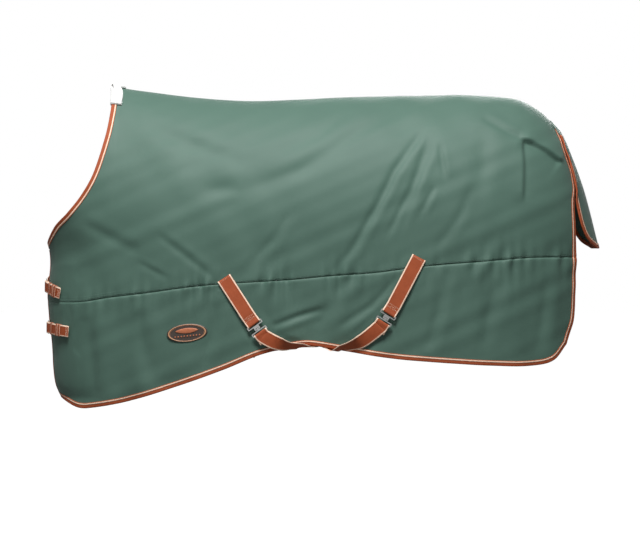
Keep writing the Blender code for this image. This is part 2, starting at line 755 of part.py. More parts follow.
def clip_pair(word, data):
    """Eye plate on the upper strap and T hook on the lower one, each turning on its own bar."""
    origin, along, across, normal = clip_frame(data)
    half_slot = WEBBING_WIDTH / 2 + LOOP_CLEAR
    wall = CLIP_BAR
    eye = pivot("eye_plate_%s_bar" % word, origin - along * CLIP_REACH)
    frame_depth = CLIP_BAR + CLIP_SLOT + CLIP_BAR
    centre = -CLIP_REACH - CLIP_BAR / 2 + frame_depth / 2
    outline = rounded_box_outline(centre, 0, frame_depth / 2, half_slot + wall, 0.003)
    slot = rounded_box_outline(centre, 0, CLIP_SLOT / 2, half_slot, 0.001, 2)
    plate = plate_outline("eye_plate_" + word, [outline, slot], CLIP_PLATE,
                          (origin, along, across, normal), "steel", eye)
    tongue_low = -CLIP_REACH + frame_depth - CLIP_BAR / 2 - CLIP_BAR / 2
    tongue_high = CLIP_EYE + 0.0045
    tongue = rounded_box_outline((tongue_low + tongue_high) / 2, 0, (tongue_high - tongue_low) / 2,
                                 CLIP_TONGUE / 2, 0.003)
    hole = rounded_box_outline(CLIP_EYE, 0, 0.0028, 0.0068, 0.0027)
    add = plate_outline("tongue_" + word, [tongue, hole], CLIP_PLATE,
                        (origin, along, across, normal), "steel", eye)
    join(plate, add)
    hook = pivot("t_hook_%s_bar" % word, origin + along * CLIP_REACH)
    outline = rounded_box_outline(-centre, 0, frame_depth / 2, half_slot + wall, 0.003)
    slot = rounded_box_outline(-centre, 0, CLIP_SLOT / 2, half_slot, 0.001, 2)
    body = plate_outline("t_hook_" + word, [outline, slot], CLIP_PLATE,
                         (origin, along, across, normal), "steel", hook)
    lift = CLIP_PLATE + HOOK_GAP
    shank_to = CLIP_EYE - 0.0012
    shank_from = -tongue_low + 0.001
    shank = box_piece("shank_" + word, (shank_from - shank_to, SHANK_WIDTH, CLIP_PLATE),
                      (origin + along * (shank_from + shank_to) / 2 + normal * lift, along, across,
                       normal), "steel", hook)
    riser = box_piece("riser_" + word, (CLIP_PLATE, SHANK_WIDTH, lift + CLIP_PLATE),
                      (origin + along * (shank_from - CLIP_PLATE / 2) + normal * lift / 2, along,
                       across, normal), "steel", hook)
    post = box_piece("post_" + word, (0.0024, 0.0045, 2 * lift),
                     (origin + along * CLIP_EYE, along, across, normal), "steel", hook)
    head = box_piece("head_" + word, (0.0034, HEAD_WIDTH, CLIP_PLATE),
                     (origin + along * CLIP_EYE - normal * lift, along, across, normal), "steel",
                     hook)
    for piece in (riser, shank, post, head):
        join(body, piece)



def join(obj, other):
    """Union of another piece into this one; the other goes to the cutters."""
    step = obj.modifiers.new("union", "BOOLEAN")
    step.operation = "UNION"
    step.object = other
    bpy.data.collections["turnout_rug"].objects.unlink(other)
    bpy.data.collections["cutters"].objects.link(other)
    other.hide_render = True
    other.display_type = "WIRE"


def slide(word, frame):
    """Webbing slide: a flat ring round the strap under the belly."""
    middle, direction, side, up = frame
    empty = pivot("surcingle_slide_%s_path" % word, middle)
    opening_w = WEBBING_WIDTH + 2 * SLIDE_CLEAR
    opening_h = WEBBING + 2 * SLIDE_CLEAR
    ring = box_piece("surcingle_slide_" + word,
                     (SLIDE_LENGTH, opening_w + 2 * SLIDE_WALL, opening_h + 2 * SLIDE_WALL), frame,
                     "steel", empty)
    hole = box_piece("slide_hole_" + word, (SLIDE_LENGTH * 2, opening_w, opening_h), frame, "steel",
                     empty, "cutters")
    cut(ring, hole)


def surcingles():
    for word, data in SURCINGLES.items():
        upper_strap("surcingle_upper_" + word, data)
        slide_frame = lower_strap("surcingle_lower_" + word, data)
        clip_pair(word, data)
        slide(word, slide_frame)


# Chest fastenings: height of each on the chest, and how far its near end tilts down.
CHEST_FASTENINGS = {"upper": (-0.655, 0.22), "lower": (-0.800, 0.08)}
BUCKLE_AT = -0.030
BUCKLE_STAND = 0.0085
CHAPE_LENGTH = 0.052
CHAPE_RETURN = 0.024
BILLET_TAIL = 0.060
FAR_SEW = 0.105
PRONG_WIRE = 0.0011
KEEPER_AT = -0.041
KEEPER_WIDTH = 0.012
KEEPER_WALL = 0.0012


def chest_point(y, z):
    """Point of the chest surface at (y, z)."""
    low = up_curve(CHEST_LINE, z)
    high = graded_along(CHEST_CENTRE)
    for _ in range(40):
        middle = (low + high) / 2
        if half_width(middle, z) < abs(y):
            low = middle
        else:
            high = middle
    return Vector((low, y, z))


def chest_route(height, tilt):
    """Function of arc length from the buckle, positive to the far side: (centre, along, normal)."""
    z = graded_up(height)
    step = 0.003
    samples = [chest_point(-0.20 + step * i, z) for i in range(int(0.40 / step))]
    lengths = [0.0]
    for a, b in zip(samples, samples[1:]):
        lengths.append(lengths[-1] + (b - a).length)
    zero = next(i for i, point in enumerate(samples) if point.y >= BUCKLE_AT)

    def smooth_point(at):
        target = at + lengths[zero]
        total = Vector()
        weight = 0.0
        for point, length in zip(samples, lengths):
            share = max(0.0, 1 - abs(length - target) / 0.012)
            total += point * share
            weight += share
        return total / weight

    def route(at, out=0.0):
        point = smooth_point(at)
        along = (smooth_point(at + 0.004) - smooth_point(at - 0.004)).normalized()
        normal = Vector((0, 0, 1)).cross(along)
        if normal.x > 0:
            normal.negate()
        along = (along + Vector((0, 0, tilt))).normalized()
        point.z += tilt * at
        return point + normal * out, along, normal

    return route


def chest_ribbon(name, route, stations, width, finish):
    frames = []
    centres = [route(at, out)[0] for at, out in stations]
    ups = []
    for at, out in stations:
        _, along, normal = route(at, out)
        ups.append(normal.cross(along))
    frames = frames_along(centres, ups)
    return ribbon(name, frames, width, WEBBING, finish)


def wire_ring(name, half_u, half_v, corner, wire, frame, parent):
    """Closed round-wire frame in the plane of (along, across)."""
    origin, along, across, normal = frame
    curve = bpy.data.curves.new(name, "CURVE")
    curve.dimensions = "3D"
    curve.bevel_depth = wire
    curve.bevel_resolution = 1
    outline = rounded_box_outline(0, 0, half_u, half_v, corner, 3)
    spline = curve.splines.new("POLY")
    spline.points.add(len(outline) - 1)
    for point, (u, v) in zip(spline.points, outline):
        point.co = (u, v, 0, 1)
    spline.use_cyclic_u = True
    helper = bpy.data.objects.new(name + "_path", curve)
    bpy.data.collections["cutters"].objects.link(helper)
    bpy.context.view_layer.update()
    graph = bpy.context.evaluated_depsgraph_get()
    mesh = bpy.data.meshes.new_from_object(helper.evaluated_get(graph))
    bpy.data.objects.remove(helper)
    turn = Matrix((along, across, normal)).transposed().to_4x4()
    mesh.transform(Matrix.Translation(origin) @ turn)
    return place(name, mesh, "steel", parent)


def wire_along(name, points, wire, parent):
    """Round pin with filled ends through the points."""
    curve = bpy.data.curves.new(name, "CURVE")
    curve.dimensions = "3D"
    curve.bevel_depth = wire
    curve.bevel_resolution = 1
    curve.use_fill_caps = True
    spline = curve.splines.new("POLY")
    spline.points.add(len(points) - 1)
    for target, point in zip(spline.points, points):
        target.co = (*point, 1)
    helper = bpy.data.objects.new(name + "_path", curve)
    bpy.data.collections["cutters"].objects.link(helper)
    bpy.context.view_layer.update()
    graph = bpy.context.evaluated_depsgraph_get()
    mesh = bpy.data.meshes.new_from_object(helper.evaluated_get(graph))
    bpy.data.objects.remove(helper)
    work = bmesh.new()
    work.from_mesh(mesh)
    bmesh.ops.remove_doubles(work, verts=work.verts, dist=1e-6)
    bmesh.ops.recalc_face_normals(work, faces=work.faces)
    work.to_mesh(mesh)
    work.free()
    return place(name, mesh, "steel", parent)


def chest_fastening(word, height, tilt):
    route = chest_route(height, tilt)
    origin, along, normal = route(0.0, BUCKLE_STAND)
    across = normal.cross(along)
    half_v = CHEST_WEBBING_WIDTH / 2 + LOOP_CLEAR + BUCKLE_WIRE + 0.0005
    half_u = BUCKLE_REACH / 2
    frame = (origin, along, across, normal)
    heel = origin - along * half_u
    buckle = pivot("chest_buckle_%s_bar" % word, heel)
    wire_ring("chest_buckle_" + word, half_u, half_v, 0.003, BUCKLE_WIRE, frame, buckle)

    outer = BUCKLE_WIRE + LOOP_CLEAR + WEBBING / 2
    low = BUCKLE_STAND - outer
    frames = []
    sewn = [-half_u - CHAPE_LENGTH + 0.008 * i for i in range(int((CHAPE_LENGTH - 0.004) / 0.008) + 1)]
    rest = LAYER_GAP + BINDING + FIT + WEBBING
    base = []
    for at in sewn:
        share = smooth_step((at - sewn[0]) / (sewn[-1] - sewn[0]))
        base.append((at, rest + (low - rest) * share))
    centres = [route(at, out)[0] for at, out in base]
    for centre, (at, out) in zip(centres, base):
        _, here, up = route(at, out)
        frames.append((centre, up.cross(here), up))
    for step in range(0, 9):
        angle = math.pi * step / 8
        spoke = -normal * math.cos(angle) + along * math.sin(angle)
        frames.append((heel + spoke * outer, across, -spoke))
    for step in range(1, 5):
        at = -half_u - CHAPE_RETURN * step / 4
        share = smooth_step(step / 4)
        _, here, up = route(at)
        index = (at - base[0][0]) / (base[-1][0] - base[0][0])
        under = rest + (low - rest) * smooth_step(index)
        closed = under + WEBBING + FIT
        top = BUCKLE_STAND + outer
        out = top + (closed - top) * share
        frames.append((route(at, out)[0], up.cross(here), -up))
    chape = ribbon("chest_chape_" + word, frames, CHEST_WEBBING_WIDTH, WEBBING, "copper_webbing")
    notch = box_piece("chape_notch_" + word, (0.020, 0.0055, 0.018), (heel, along, across, normal),
                      "steel", None, "cutters")
    cut(chape, notch)

    over = BUCKLE_STAND + outer + WEBBING + FIT + 0.0010
    under_bar = BUCKLE_STAND - BUCKLE_WIRE - LOOP_CLEAR - WEBBING / 2
    tail = -half_u - BILLET_TAIL
    stack = rest + 2 * (WEBBING + 2 * FIT)
    stations = [(tail, stack), (tail + 0.012, stack), (-half_u - 0.036, stack),
                (-half_u - 0.027, stack + 0.0012), (-half_u - 0.015, over - 0.0012),
                (-half_u - 0.006, over), (-half_u + 0.002, over), (-half_u + 0.009, over - 0.0030),
                (0.004, under_bar + 0.0016), (half_u - 0.003, under_bar), (half_u + 0.004, under_bar),
                (half_u + 0.014, under_bar + 0.0004)]
    far = [half_u + 0.014 + 0.012 * i for i in range(1, int(FAR_SEW / 0.012))]
    stations += [(at, under_bar + 0.0004) for at in far]
    billet = chest_ribbon("chest_billet_" + word, route, stations, CHEST_WEBBING_WIDTH,
                          "copper_webbing")
    slot = box_piece("billet_hole_" + word, (0.0150, 0.0042, 0.014),
                     (heel + along * 0.0085 + normal * 0.003, along, across, normal), "steel", None,
                     "cutters")
    cut(billet, slot)

    pin = pivot("chest_prong_%s_bar" % word, heel)
    eye = BUCKLE_WIRE + FIT + PRONG_WIRE
    points = []
    for step in range(0, 8):
        angle = math.radians(60 - 300 * step / 7)
        points.append(heel + (along * math.cos(angle) + normal * math.sin(angle)) * eye)
    points.reverse()
    rise = BUCKLE_WIRE + FIT + PRONG_WIRE
    points.append(heel + along * 0.006 + normal * (eye + 0.0006))
    points.append(heel + along * (BUCKLE_REACH * 0.6) + normal * (rise + 0.0004))
    points.append(heel + along * (BUCKLE_REACH + 0.0022) + normal * rise)
    wire_along("chest_prong_" + word, points, PRONG_WIRE, pin)

    keeper_at = -half_u + KEEPER_AT
    centre, here, up = route(keeper_at, rest + WEBBING + 2 * FIT)
    side = up.cross(here)
    path = pivot("chest_keeper_%s_path" % word, centre)
    opening = (CHEST_WEBBING_WIDTH + 2 * LOOP_CLEAR, 3 * WEBBING + 9 * FIT)
    shift = up * 0.0002
    ring = box_piece("chest_keeper_" + word,
                     (KEEPER_WIDTH, opening[0] + 2 * KEEPER_WALL, opening[1] + 2 * KEEPER_WALL),
                     (centre + shift, here, side, up), "copper_webbing", path)
    hole = box_piece("keeper_hole_" + word, (KEEPER_WIDTH * 2, opening[0], opening[1]),
                     (centre + shift, here, side, up), "copper_webbing", path, "cutters")
    cut(ring, hole)


# Tail flap: its middle line, from the dock down, as (up, along) at the pattern size.
FLAP_LINE = [(-0.525, 0.973), (-0.336, 0.924), (-0.217, 0.882), (-0.1225, 0.842), (-0.080, 0.806)]
FLAP_TOP = -0.080
FLAP_SAG = [(0.0, 0.0), (0.15, 0.014), (0.3, 0.030), (0.5, 0.042), (0.75, 0.054), (1.0, 0.052)]
FLAP_WIDTHS = [(0.0, 0.075), (0.15, 0.100), (0.4, 0.140), (0.7, 0.160), (0.86, 0.158), (0.95, 0.135),
               (1.0, 0.085)]
FLAP_ROWS = [0.0, 0.07, 0.16, 0.28, 0.42, 0.57, 0.71, 0.84, 0.93, 1.0]
FLAP_COLUMNS = 8
FLAP_SHEET = 0.0020
FLAP_EDGE_CLEAR = 0.008
FLAP_EDGE_DROP = 0.020
FLAP_OVERLAP = 0.002


def rump_x(y, z):
    """Position along the body of the rump's surface at (y, z)."""
    low, high = graded_along(0.5), graded_along(RUMP_REACH)
    for _ in range(40):
        middle = (low + high) / 2
        if half_width(middle, z) > abs(y):
            low = middle
        else:
            high = middle
    return low


def flap_point(row_share, column_share):
    """Point of the flap's inner face: rows from the dock down, columns from side to side."""
    length = graded_up(FLAP_TOP) - graded_up(FLAP_LINE[0][0])
    y = column_share * curve_at(FLAP_WIDTHS, row_share) * BODY_HALF_WIDTH / 0.335
    droop = FLAP_EDGE_DROP * (1 - row_share) ** 2 * column_share**2
    z = graded_up(FLAP_TOP) - row_share * length - droop
    share = abs(column_share)
    x = up_curve(FLAP_LINE, z + droop) - curve_at(FLAP_SAG, row_share) * share**2
    clear = FLAP_CLEAR + FLAP_EDGE_CLEAR * min(1.0, row_share * 10)
    under = min(rump_x(y, z), up_curve(REAR_EDGE, z) + FLAP_OVERLAP)
    return Vector((max(x, under + clear), y, z))


def flap_grid():
    cols = [2 * i / FLAP_COLUMNS - 1 for i in range(FLAP_COLUMNS + 1)]
    inset = BINDING_WIDTH / (2 * FLAP_HALF)
    cols = [-1.0, -1.0 + 2 * inset] + cols[1:-1] + [1.0 - 2 * inset, 1.0]
    cols = sorted(set(cols))
    return {(r, c): flap_point(a, b) for r, a in enumerate(FLAP_ROWS) for c, b in enumerate(cols)}, \
        len(FLAP_ROWS), len(cols)


def tail_flap():
    points, rows, cols = flap_grid()
    faces = []
    for r in range(rows - 1):
        for c in range(cols - 1):
            a, b, d, e = (r, c), (r, c + 1), (r + 1, c + 1), (r + 1, c)
            faces += [[a, e, d], [a, d, b]] if c < cols // 2 else [[a, e, b], [b, e, d]]
    mesh = mesh_from(faces, lambda key: points[key])
    work = bmesh.new()
    work.from_mesh(mesh)
    if sum((face.normal * face.calc_area() for face in work.faces), Vector()).x < 0:
        bmesh.ops.reverse_faces(work, faces=work.faces)
        faces = [face[::-1] for face in faces]
        work.to_mesh(mesh)
    work.free()
    top = points[(0, cols // 2)]
    axis = pivot("tail_flap_dock", Vector((top.x, 0.0, top.z)))
    flap = thicken(place("tail_flap", mesh, "green_fabric", axis), FLAP_SHEET, 1)

    normals = {}
    for key in points:
        total = Vector()
        for face in faces:
            if key in face:
                p, q, r = (points[k] for k in face)
                total += (q - p).cross(r - p)
        normals[key] = total.normalized()
    edge = [(r, 0) for r in range(1, rows)] + [(rows - 1, c) for c in range(1, cols)]
    edge += [(r, cols - 1) for r in range(rows - 2, 0, -1)]
    ring = [face for face in faces if any(key in edge for key in face)
            and all(key[0] >= 1 for key in face)]
    outward = {}
    for key in edge:
        inner = {other for face in ring if key in face for other in face} - set(edge)
        away = Vector()
        for other in inner:
            away += (points[key] - points[other]).normalized()
        outward[key] = away.normalized() if inner else Vector()
    for key in edge:
        if outward[key].length < 0.5:
            neighbours = [outward[other] for other in edge if abs(other[0] - key[0]) <= 1
                          and abs(other[1] - key[1]) <= 1]
            outward[key] = sum(neighbours, Vector()).normalized()

    def position(tagged):
        layer, key = tagged
        distance = FLAP_SHEET + LAYER_GAP if layer == "over" else -LAYER_GAP
        return points[key] + normals[key] * distance + outward.get(key, Vector()) * EDGE_GAP

    skin = [[("over", key) for key in face] for face in ring]
    skin += [[("under", key) for key in reversed(face)] for face in ring]
    directed = {pair for face in ring for pair in zip(face, face[1:] + face[:1])}
    for a, b in zip(edge, edge[1:]):
        if (a, b) in directed:
            skin.append([("under", a), ("under", b), ("over", b), ("over", a)])
        elif (b, a) in directed:
            skin.append([("over", a), ("over", b), ("under", b), ("under", a)])
    thicken(place("tail_flap_binding", mesh_from(skin, position), "copper_webbing", axis), BINDING, 1,
            even=True)


def oval_patch():
    """Oval badge on the near shoulder."""
    at_along, at_up = PATCH_AT
    at = side_point(NEAR, PATCH_AT, PATCH_STAND)
    lower = side_point(NEAR, (at_along, at_up - 0.03), PATCH_STAND)
    rear = side_point(NEAR, (at_along + 0.05, at_up), PATCH_STAND)
    up = (at - lower).normalized()
    along = (rear - at).normalized()
    normal = along.cross(up)
    up = normal.cross(along)
    tilt = math.radians(PATCH_TILT)
    along, up = along * math.cos(tilt) + up * math.sin(tilt), up * math.cos(tilt) - along * math.sin(tilt)
    outline = []
    for step in range(PATCH_POINTS):
        angle = 2 * math.pi * step / PATCH_POINTS
        outline.append((PATCH_LENGTH / 2 * math.cos(angle), PATCH_HEIGHT / 2 * math.sin(angle)))
    return plate_outline("oval_patch", [outline], PATCH, (at + normal * PATCH, along, up, normal),
                         "leather_patch", None)


RING_AT = (0.825, -0.640)
RING_TAB_WIDTH = 0.030
RING_TAB_LENGTH = 0.045
RING_TAB_CLEAR = 0.0085
RING_TAB_SEAT = -0.0020


def leg_strap_ring(word, side):
    """D ring on a webbing tab sewn inside the rear edge."""
    inside = SHELL + LAYER_GAP + LINING
    x, z = graded_along(RING_AT[0]), graded_up(RING_AT[1])
    out = -(inside + RING_TAB_CLEAR)
    at = Vector((x, side * (half_width(x, z) + out), z))
    ahead = Vector((x - 0.03, side * (half_width(x - 0.03, z) + out), z))
    above = Vector((x, side * (half_width(x, z + 0.03) + out), z + 0.03))
    rear = (at - ahead).normalized()
    up = (above - at).normalized()
    normal = rear.cross(up) * side
    if normal.y * side > 0:
        normal.negate()
    rear = up.cross(normal).normalized()
    if rear.x < 0:
        rear.negate()
    normal.normalize()
    outer = RING_WIRE * 0.71 + LOOP_CLEAR + WEBBING / 2
    stand = outer + WEBBING / 2 + 0.0015
    bar = at + normal * stand
    frames = []
    for step in range(6):
        share = 1 - step / 5
        height = -outer + (outer - stand + WEBBING / 2 + RING_TAB_SEAT) * smooth_step(share)
        frames.append((bar + up * RING_TAB_LENGTH * share + normal * height, rear, normal))
    for step in range(1, 8):
        angle = math.pi * step / 8
        spoke = -normal * math.cos(angle) - up * math.sin(angle)
        frames.append((bar + spoke * outer, rear, normal))
    for step in range(1, 5):
        share = step / 5
        base = -outer + (outer - stand + WEBBING / 2 + RING_TAB_SEAT) * smooth_step(share)
        closed = base + WEBBING + 2 * FIT
        height = outer + (closed - outer) * smooth_step(min(1.0, share * 1.6))
        frames.append((bar + up * RING_TAB_LENGTH * share + normal * height, rear, normal))
    ribbon("ring_tab_" + word, frames, RING_TAB_WIDTH, WEBBING, "copper_webbing")
    turn = pivot("leg_ring_%s_bar" % word, bar)
    half = RING_WIDTH / 2
    steps = 11
    outline = [(RING_WIRE / 2, -half), (RING_WIRE / 2, half)]
    outline += [(-RING_DEPTH * math.sin(math.pi * i / steps) ** 0.7, half * math.cos(math.pi * i / steps))
                for i in range(1, steps)]
    inner = [(-RING_WIRE / 2, -half + RING_WIRE), (-RING_WIRE / 2, half - RING_WIRE)]
    inner += [(-RING_WIRE / 2 - (RING_DEPTH - 1.5 * RING_WIRE) * math.sin(math.pi * i / steps) ** 0.7,
               (half - RING_WIRE) * math.cos(math.pi * i / steps)) for i in range(1, steps)]
    plate_outline("leg_ring_" + word, [outline, inner], RING_WIRE, (bar, up, rear, up.cross(rear)), "steel",
                  turn)


def start_scene():
    for obj in list(bpy.data.objects):
        bpy.data.objects.remove(obj, do_unlink=True)
    for name, hidden in (("turnout_rug", False), ("cutters", True)):
        collection = bpy.data.collections.new(name)
        bpy.context.scene.collection.children.link(collection)
        collection.hide_render = hidden


def main():
    start_scene()
    points, count = build_grid()
    grid = {"points": points, "normals": grid_normals(points, count), "count": count}
    make_cloth(grid)
    fleece_pads(grid)
    surcingles()
    for word, (height, tilt) in CHEST_FASTENINGS.items():
        chest_fastening(word, height, tilt)
    tail_flap()
    oval_patch()
    leg_strap_ring("left", NEAR)
    leg_strap_ring("right", OFF)


main()
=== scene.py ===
import math
import bpy
import bmesh
import numpy as np
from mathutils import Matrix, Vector
from mathutils.bvhtree import BVHTree


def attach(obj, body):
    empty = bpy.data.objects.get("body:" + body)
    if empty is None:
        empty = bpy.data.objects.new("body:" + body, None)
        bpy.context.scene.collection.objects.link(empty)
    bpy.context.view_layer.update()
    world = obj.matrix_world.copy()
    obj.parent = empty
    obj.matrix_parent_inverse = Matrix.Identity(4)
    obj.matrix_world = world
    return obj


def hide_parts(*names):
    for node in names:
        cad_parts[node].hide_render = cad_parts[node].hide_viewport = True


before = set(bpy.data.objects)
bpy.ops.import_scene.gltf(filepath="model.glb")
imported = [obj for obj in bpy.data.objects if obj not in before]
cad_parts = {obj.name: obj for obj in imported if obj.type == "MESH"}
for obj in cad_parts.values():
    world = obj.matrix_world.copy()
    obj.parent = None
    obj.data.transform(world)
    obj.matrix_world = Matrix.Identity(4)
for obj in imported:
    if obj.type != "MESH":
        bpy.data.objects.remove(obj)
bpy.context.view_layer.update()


# camera, floor and light
cameraSettings = {"place": (0.0, -9.0, -0.5145), "lens": 144.6, "lift": -0.039}
studio = {
    "floorHeight": -1.56,
    "floorTone": (0.20, 0.20, 0.20),
    "floorGlow": 0.92,
    "skyTone": (1.0, 1.0, 1.0),
    "skyPower": 0.25,
    "backPower": 1.0,
    "glossPower": 0.40,
    "lamps": [
        # name, place, aim, size, watts
        ("keyLamp", (-0.55, -3.15, 3.95), (-0.05, -0.1, -0.35), 1.7, 580),
        ("farLamp", (1.4, 4.8, 1.5), (0.2, 0.0, -0.5), 2.4, 170),
    ],
}


def addCamera():
    lens = bpy.data.cameras.new("studioCamera")
    camera = bpy.data.objects.new("studioCamera", lens)
    bpy.context.scene.collection.objects.link(camera)
    lens.sensor_width = 36.0
    lens.lens = cameraSettings["lens"]
    lens.shift_y = cameraSettings["lift"]
    lens.clip_end = 100
    camera.location = cameraSettings["place"]
    camera.rotation_euler = (math.pi / 2, 0, 0)
    bpy.context.scene.camera = camera


def addStudio():
    world = bpy.data.worlds.new("paleRoom")
    world.use_nodes = True
    background = world.node_tree.nodes["Background"]
    background.inputs["Color"].default_value = (*studio["skyTone"], 1)
    background.inputs["Strength"].default_value = studio["skyPower"]
    bright = world.node_tree.nodes.new("ShaderNodeBackground")
    bright.inputs["Color"].default_value = (*studio["skyTone"], 1)
    bright.inputs["Strength"].default_value = studio["backPower"]
    seen = world.node_tree.nodes.new("ShaderNodeLightPath")
    blend = world.node_tree.nodes.new("ShaderNodeMixShader")
    gloss = mathNode(world.node_tree, "MULTIPLY", seen.outputs["Is Glossy Ray"], studio["glossPower"])
    share = mathNode(world.node_tree, "MAXIMUM", seen.outputs["Is Camera Ray"], gloss)
    world.node_tree.links.new(share, blend.inputs[0])
    world.node_tree.links.new(background.outputs[0], blend.inputs[1])
    world.node_tree.links.new(bright.outputs[0], blend.inputs[2])
    world.node_tree.links.new(blend.outputs[0], world.node_tree.nodes["World Output"].inputs["Surface"])
    bpy.context.scene.world = world
    work = bmesh.new()
    bmesh.ops.create_grid(work, x_segments=4, y_segments=4, size=30)
    floorMesh = bpy.data.meshes.new("studioFloor")
    work.to_mesh(floorMesh)
    work.free()
    floor = bpy.data.objects.new("studioFloor", floorMesh)
    floor.location.z = studio["floorHeight"]
    bpy.context.scene.collection.objects.link(floor)
    paint = bpy.data.materials.new("floorPaint")
    paint.use_nodes = True
    shader = paint.node_tree.nodes["Principled BSDF"]
    shader.inputs["Base Color"].default_value = (*studio["floorTone"], 1)
    shader.inputs["Roughness"].default_value = 0.9
    shader.inputs["Emission Color"].default_value = (*studio["skyTone"], 1)
    floorSeen = paint.node_tree.nodes.new("ShaderNodeLightPath")
    glow = mathNode(paint.node_tree, "MULTIPLY", floorSeen.outputs["Is Camera Ray"], studio["floorGlow"])
    paint.node_tree.links.new(glow, shader.inputs["Emission Strength"])
    floorMesh.materials.append(paint)
    for name, place, aim, size, watts in studio["lamps"]:
        data = bpy.data.lights.new(name, "AREA")
        data.shape = "SQUARE"
        data.size = size
        data.energy = watts
        lamp = bpy.data.objects.new(name, data)
        lamp.location = place
        lamp.rotation_euler = (Vector(aim) - Vector(place)).to_track_quat("-Z", "Y").to_euler()
        bpy.context.scene.collection.objects.link(lamp)


# shader groups, used by several finishes
def newGroup(name, inputs, outputs):
    group = bpy.data.node_groups.new(name, "ShaderNodeTree")
    for label, kind, value in inputs:
        socket = group.interface.new_socket(name=label, in_out="INPUT", socket_type=kind)
        if value is not None:
            socket.default_value = value
    for label, kind in outputs:
        group.interface.new_socket(name=label, in_out="OUTPUT", socket_type=kind)
    return group, group.nodes.new("NodeGroupInput"), group.nodes.new("NodeGroupOutput")


def mathNode(tree, operation, first, second=None):
    node = tree.nodes.new("ShaderNodeMath")
    node.operation = operation
    for index, value in enumerate((first, second)):
        if value is None:
            continue
        if isinstance(value, (int, float)):
            node.inputs[index].default_value = value
        else:
            tree.links.new(value, node.inputs[index])
    return node.outputs[0]


def noiseNode(tree, vector, scale, detail=3.0, rough=0.55):
    node = tree.nodes.new("ShaderNodeTexNoise")
    node.inputs["Scale"].default_value = scale
    node.inputs["Detail"].default_value = detail
    node.inputs["Roughness"].default_value = rough
    tree.links.new(vector, node.inputs["Vector"])
    return node.outputs["Fac"]


def mixTone(tree, amount, dark, light):
    node = tree.nodes.new("ShaderNodeMix")
    node.data_type = "RGBA"
    if isinstance(amount, (int, float)):
        node.inputs["Factor"].default_value = amount
    else:
        tree.links.new(amount, node.inputs["Factor"])
    for socket, value in ((node.inputs[6], dark), (node.inputs[7], light)):
        if isinstance(value, tuple):
            socket.default_value = (*value, 1) if len(value) == 3 else value
        else:
            tree.links.new(value, socket)
    return node.outputs[2]


def threadWeaveGroup():
    # plain weave: over-and-under threads at a set pitch, and a slow change of tone
    group, given, result = newGroup(
        "threadWeave",
        [("Sewn Map", "NodeSocketVector", None), ("Place", "NodeSocketVector", None),
         ("Pitch", "NodeSocketFloat", 0.0011), ("Slub", "NodeSocketFloat", 0.5)],
        [("Thread", "NodeSocketFloat"), ("Tone", "NodeSocketFloat")])
    split = group.nodes.new("ShaderNodeSeparateXYZ")
    group.links.new(given.outputs["Sewn Map"], split.inputs[0])
    turns = mathNode(group, "DIVIDE", 2 * math.pi, given.outputs["Pitch"])
    across = mathNode(group, "SINE", mathNode(group, "MULTIPLY", split.outputs[0], turns))
    down = mathNode(group, "SINE", mathNode(group, "MULTIPLY", split.outputs[1], turns))
    woven = mathNode(group, "MULTIPLY", across, down)
    slub = noiseNode(group, given.outputs["Place"], 260.0, 2.0)
    slub = mathNode(group, "MULTIPLY", slub, given.outputs["Slub"])
    group.links.new(mathNode(group, "ADD", mathNode(group, "MULTIPLY", woven, 0.5), slub),
                    result.inputs["Thread"])
    group.links.new(noiseNode(group, given.outputs["Place"], 5.5, 4.0), result.inputs["Tone"])
    return group


def ribWeaveGroup():
    # webbing: ribs across the strap, each broken into small chevrons
    group, given, result = newGroup(
        "ribWeave",
        [("Strap Map", "NodeSocketVector", None), ("Rib", "NodeSocketFloat", 0.0022)],
        [("Thread", "NodeSocketFloat"), ("Tone", "NodeSocketFloat")])
    split = group.nodes.new("ShaderNodeSeparateXYZ")
    group.links.new(given.outputs["Strap Map"], split.inputs[0])
    turns = mathNode(group, "DIVIDE", 2 * math.pi, given.outputs["Rib"])
    along = mathNode(group, "MULTIPLY", split.outputs[0], turns)
    across = mathNode(group, "MULTIPLY", split.outputs[1], turns)
    zig = mathNode(group, "MULTIPLY", mathNode(group, "SINE", mathNode(group, "MULTIPLY", across, 0.5)), 1.6)
    ribs = mathNode(group, "SINE", mathNode(group, "ADD", along, zig))
    fine = mathNode(group, "SINE", mathNode(group, "MULTIPLY", across, 1.7))
    group.links.new(mathNode(group, "ADD", mathNode(group, "MULTIPLY", ribs, 0.4),
                             mathNode(group, "MULTIPLY", fine, 0.25)), result.inputs["Thread"])
    group.links.new(noiseNode(group, given.outputs["Strap Map"], 30.0, 3.0), result.inputs["Tone"])
    return group


def softWearGroup():
    # faint dust and handling marks, lighter in broad patches
    group, given, result = newGroup(
        "softWear",
        [("Place", "NodeSocketVector", None), ("Colour", "NodeSocketColor", (0.5, 0.5, 0.5, 1)),
         ("Dust", "NodeSocketColor", (0.6, 0.58, 0.5, 1)), ("Amount", "NodeSocketFloat", 0.1)],
        [("Colour", "NodeSocketColor"), ("Wear", "NodeSocketFloat")])
    broad = noiseNode(group, given.outputs["Place"], 3.2, 6.0, 0.62)
    patch = mathNode(group, "MULTIPLY", mathNode(group, "POWER", broad, 2.2), given.outputs["Amount"])
    tone = mixTone(group, patch, given.outputs["Colour"], given.outputs["Dust"])
    group.links.new(tone, result.inputs["Colour"])
    group.links.new(patch, result.inputs["Wear"])
    return group


addCamera()
addStudio()
bpy.context.scene.view_settings.view_transform = "Standard"
print("camera and studio ready")
threadWeave = threadWeaveGroup()
ribWeave = ribWeaveGroup()
softWear = softWearGroup()


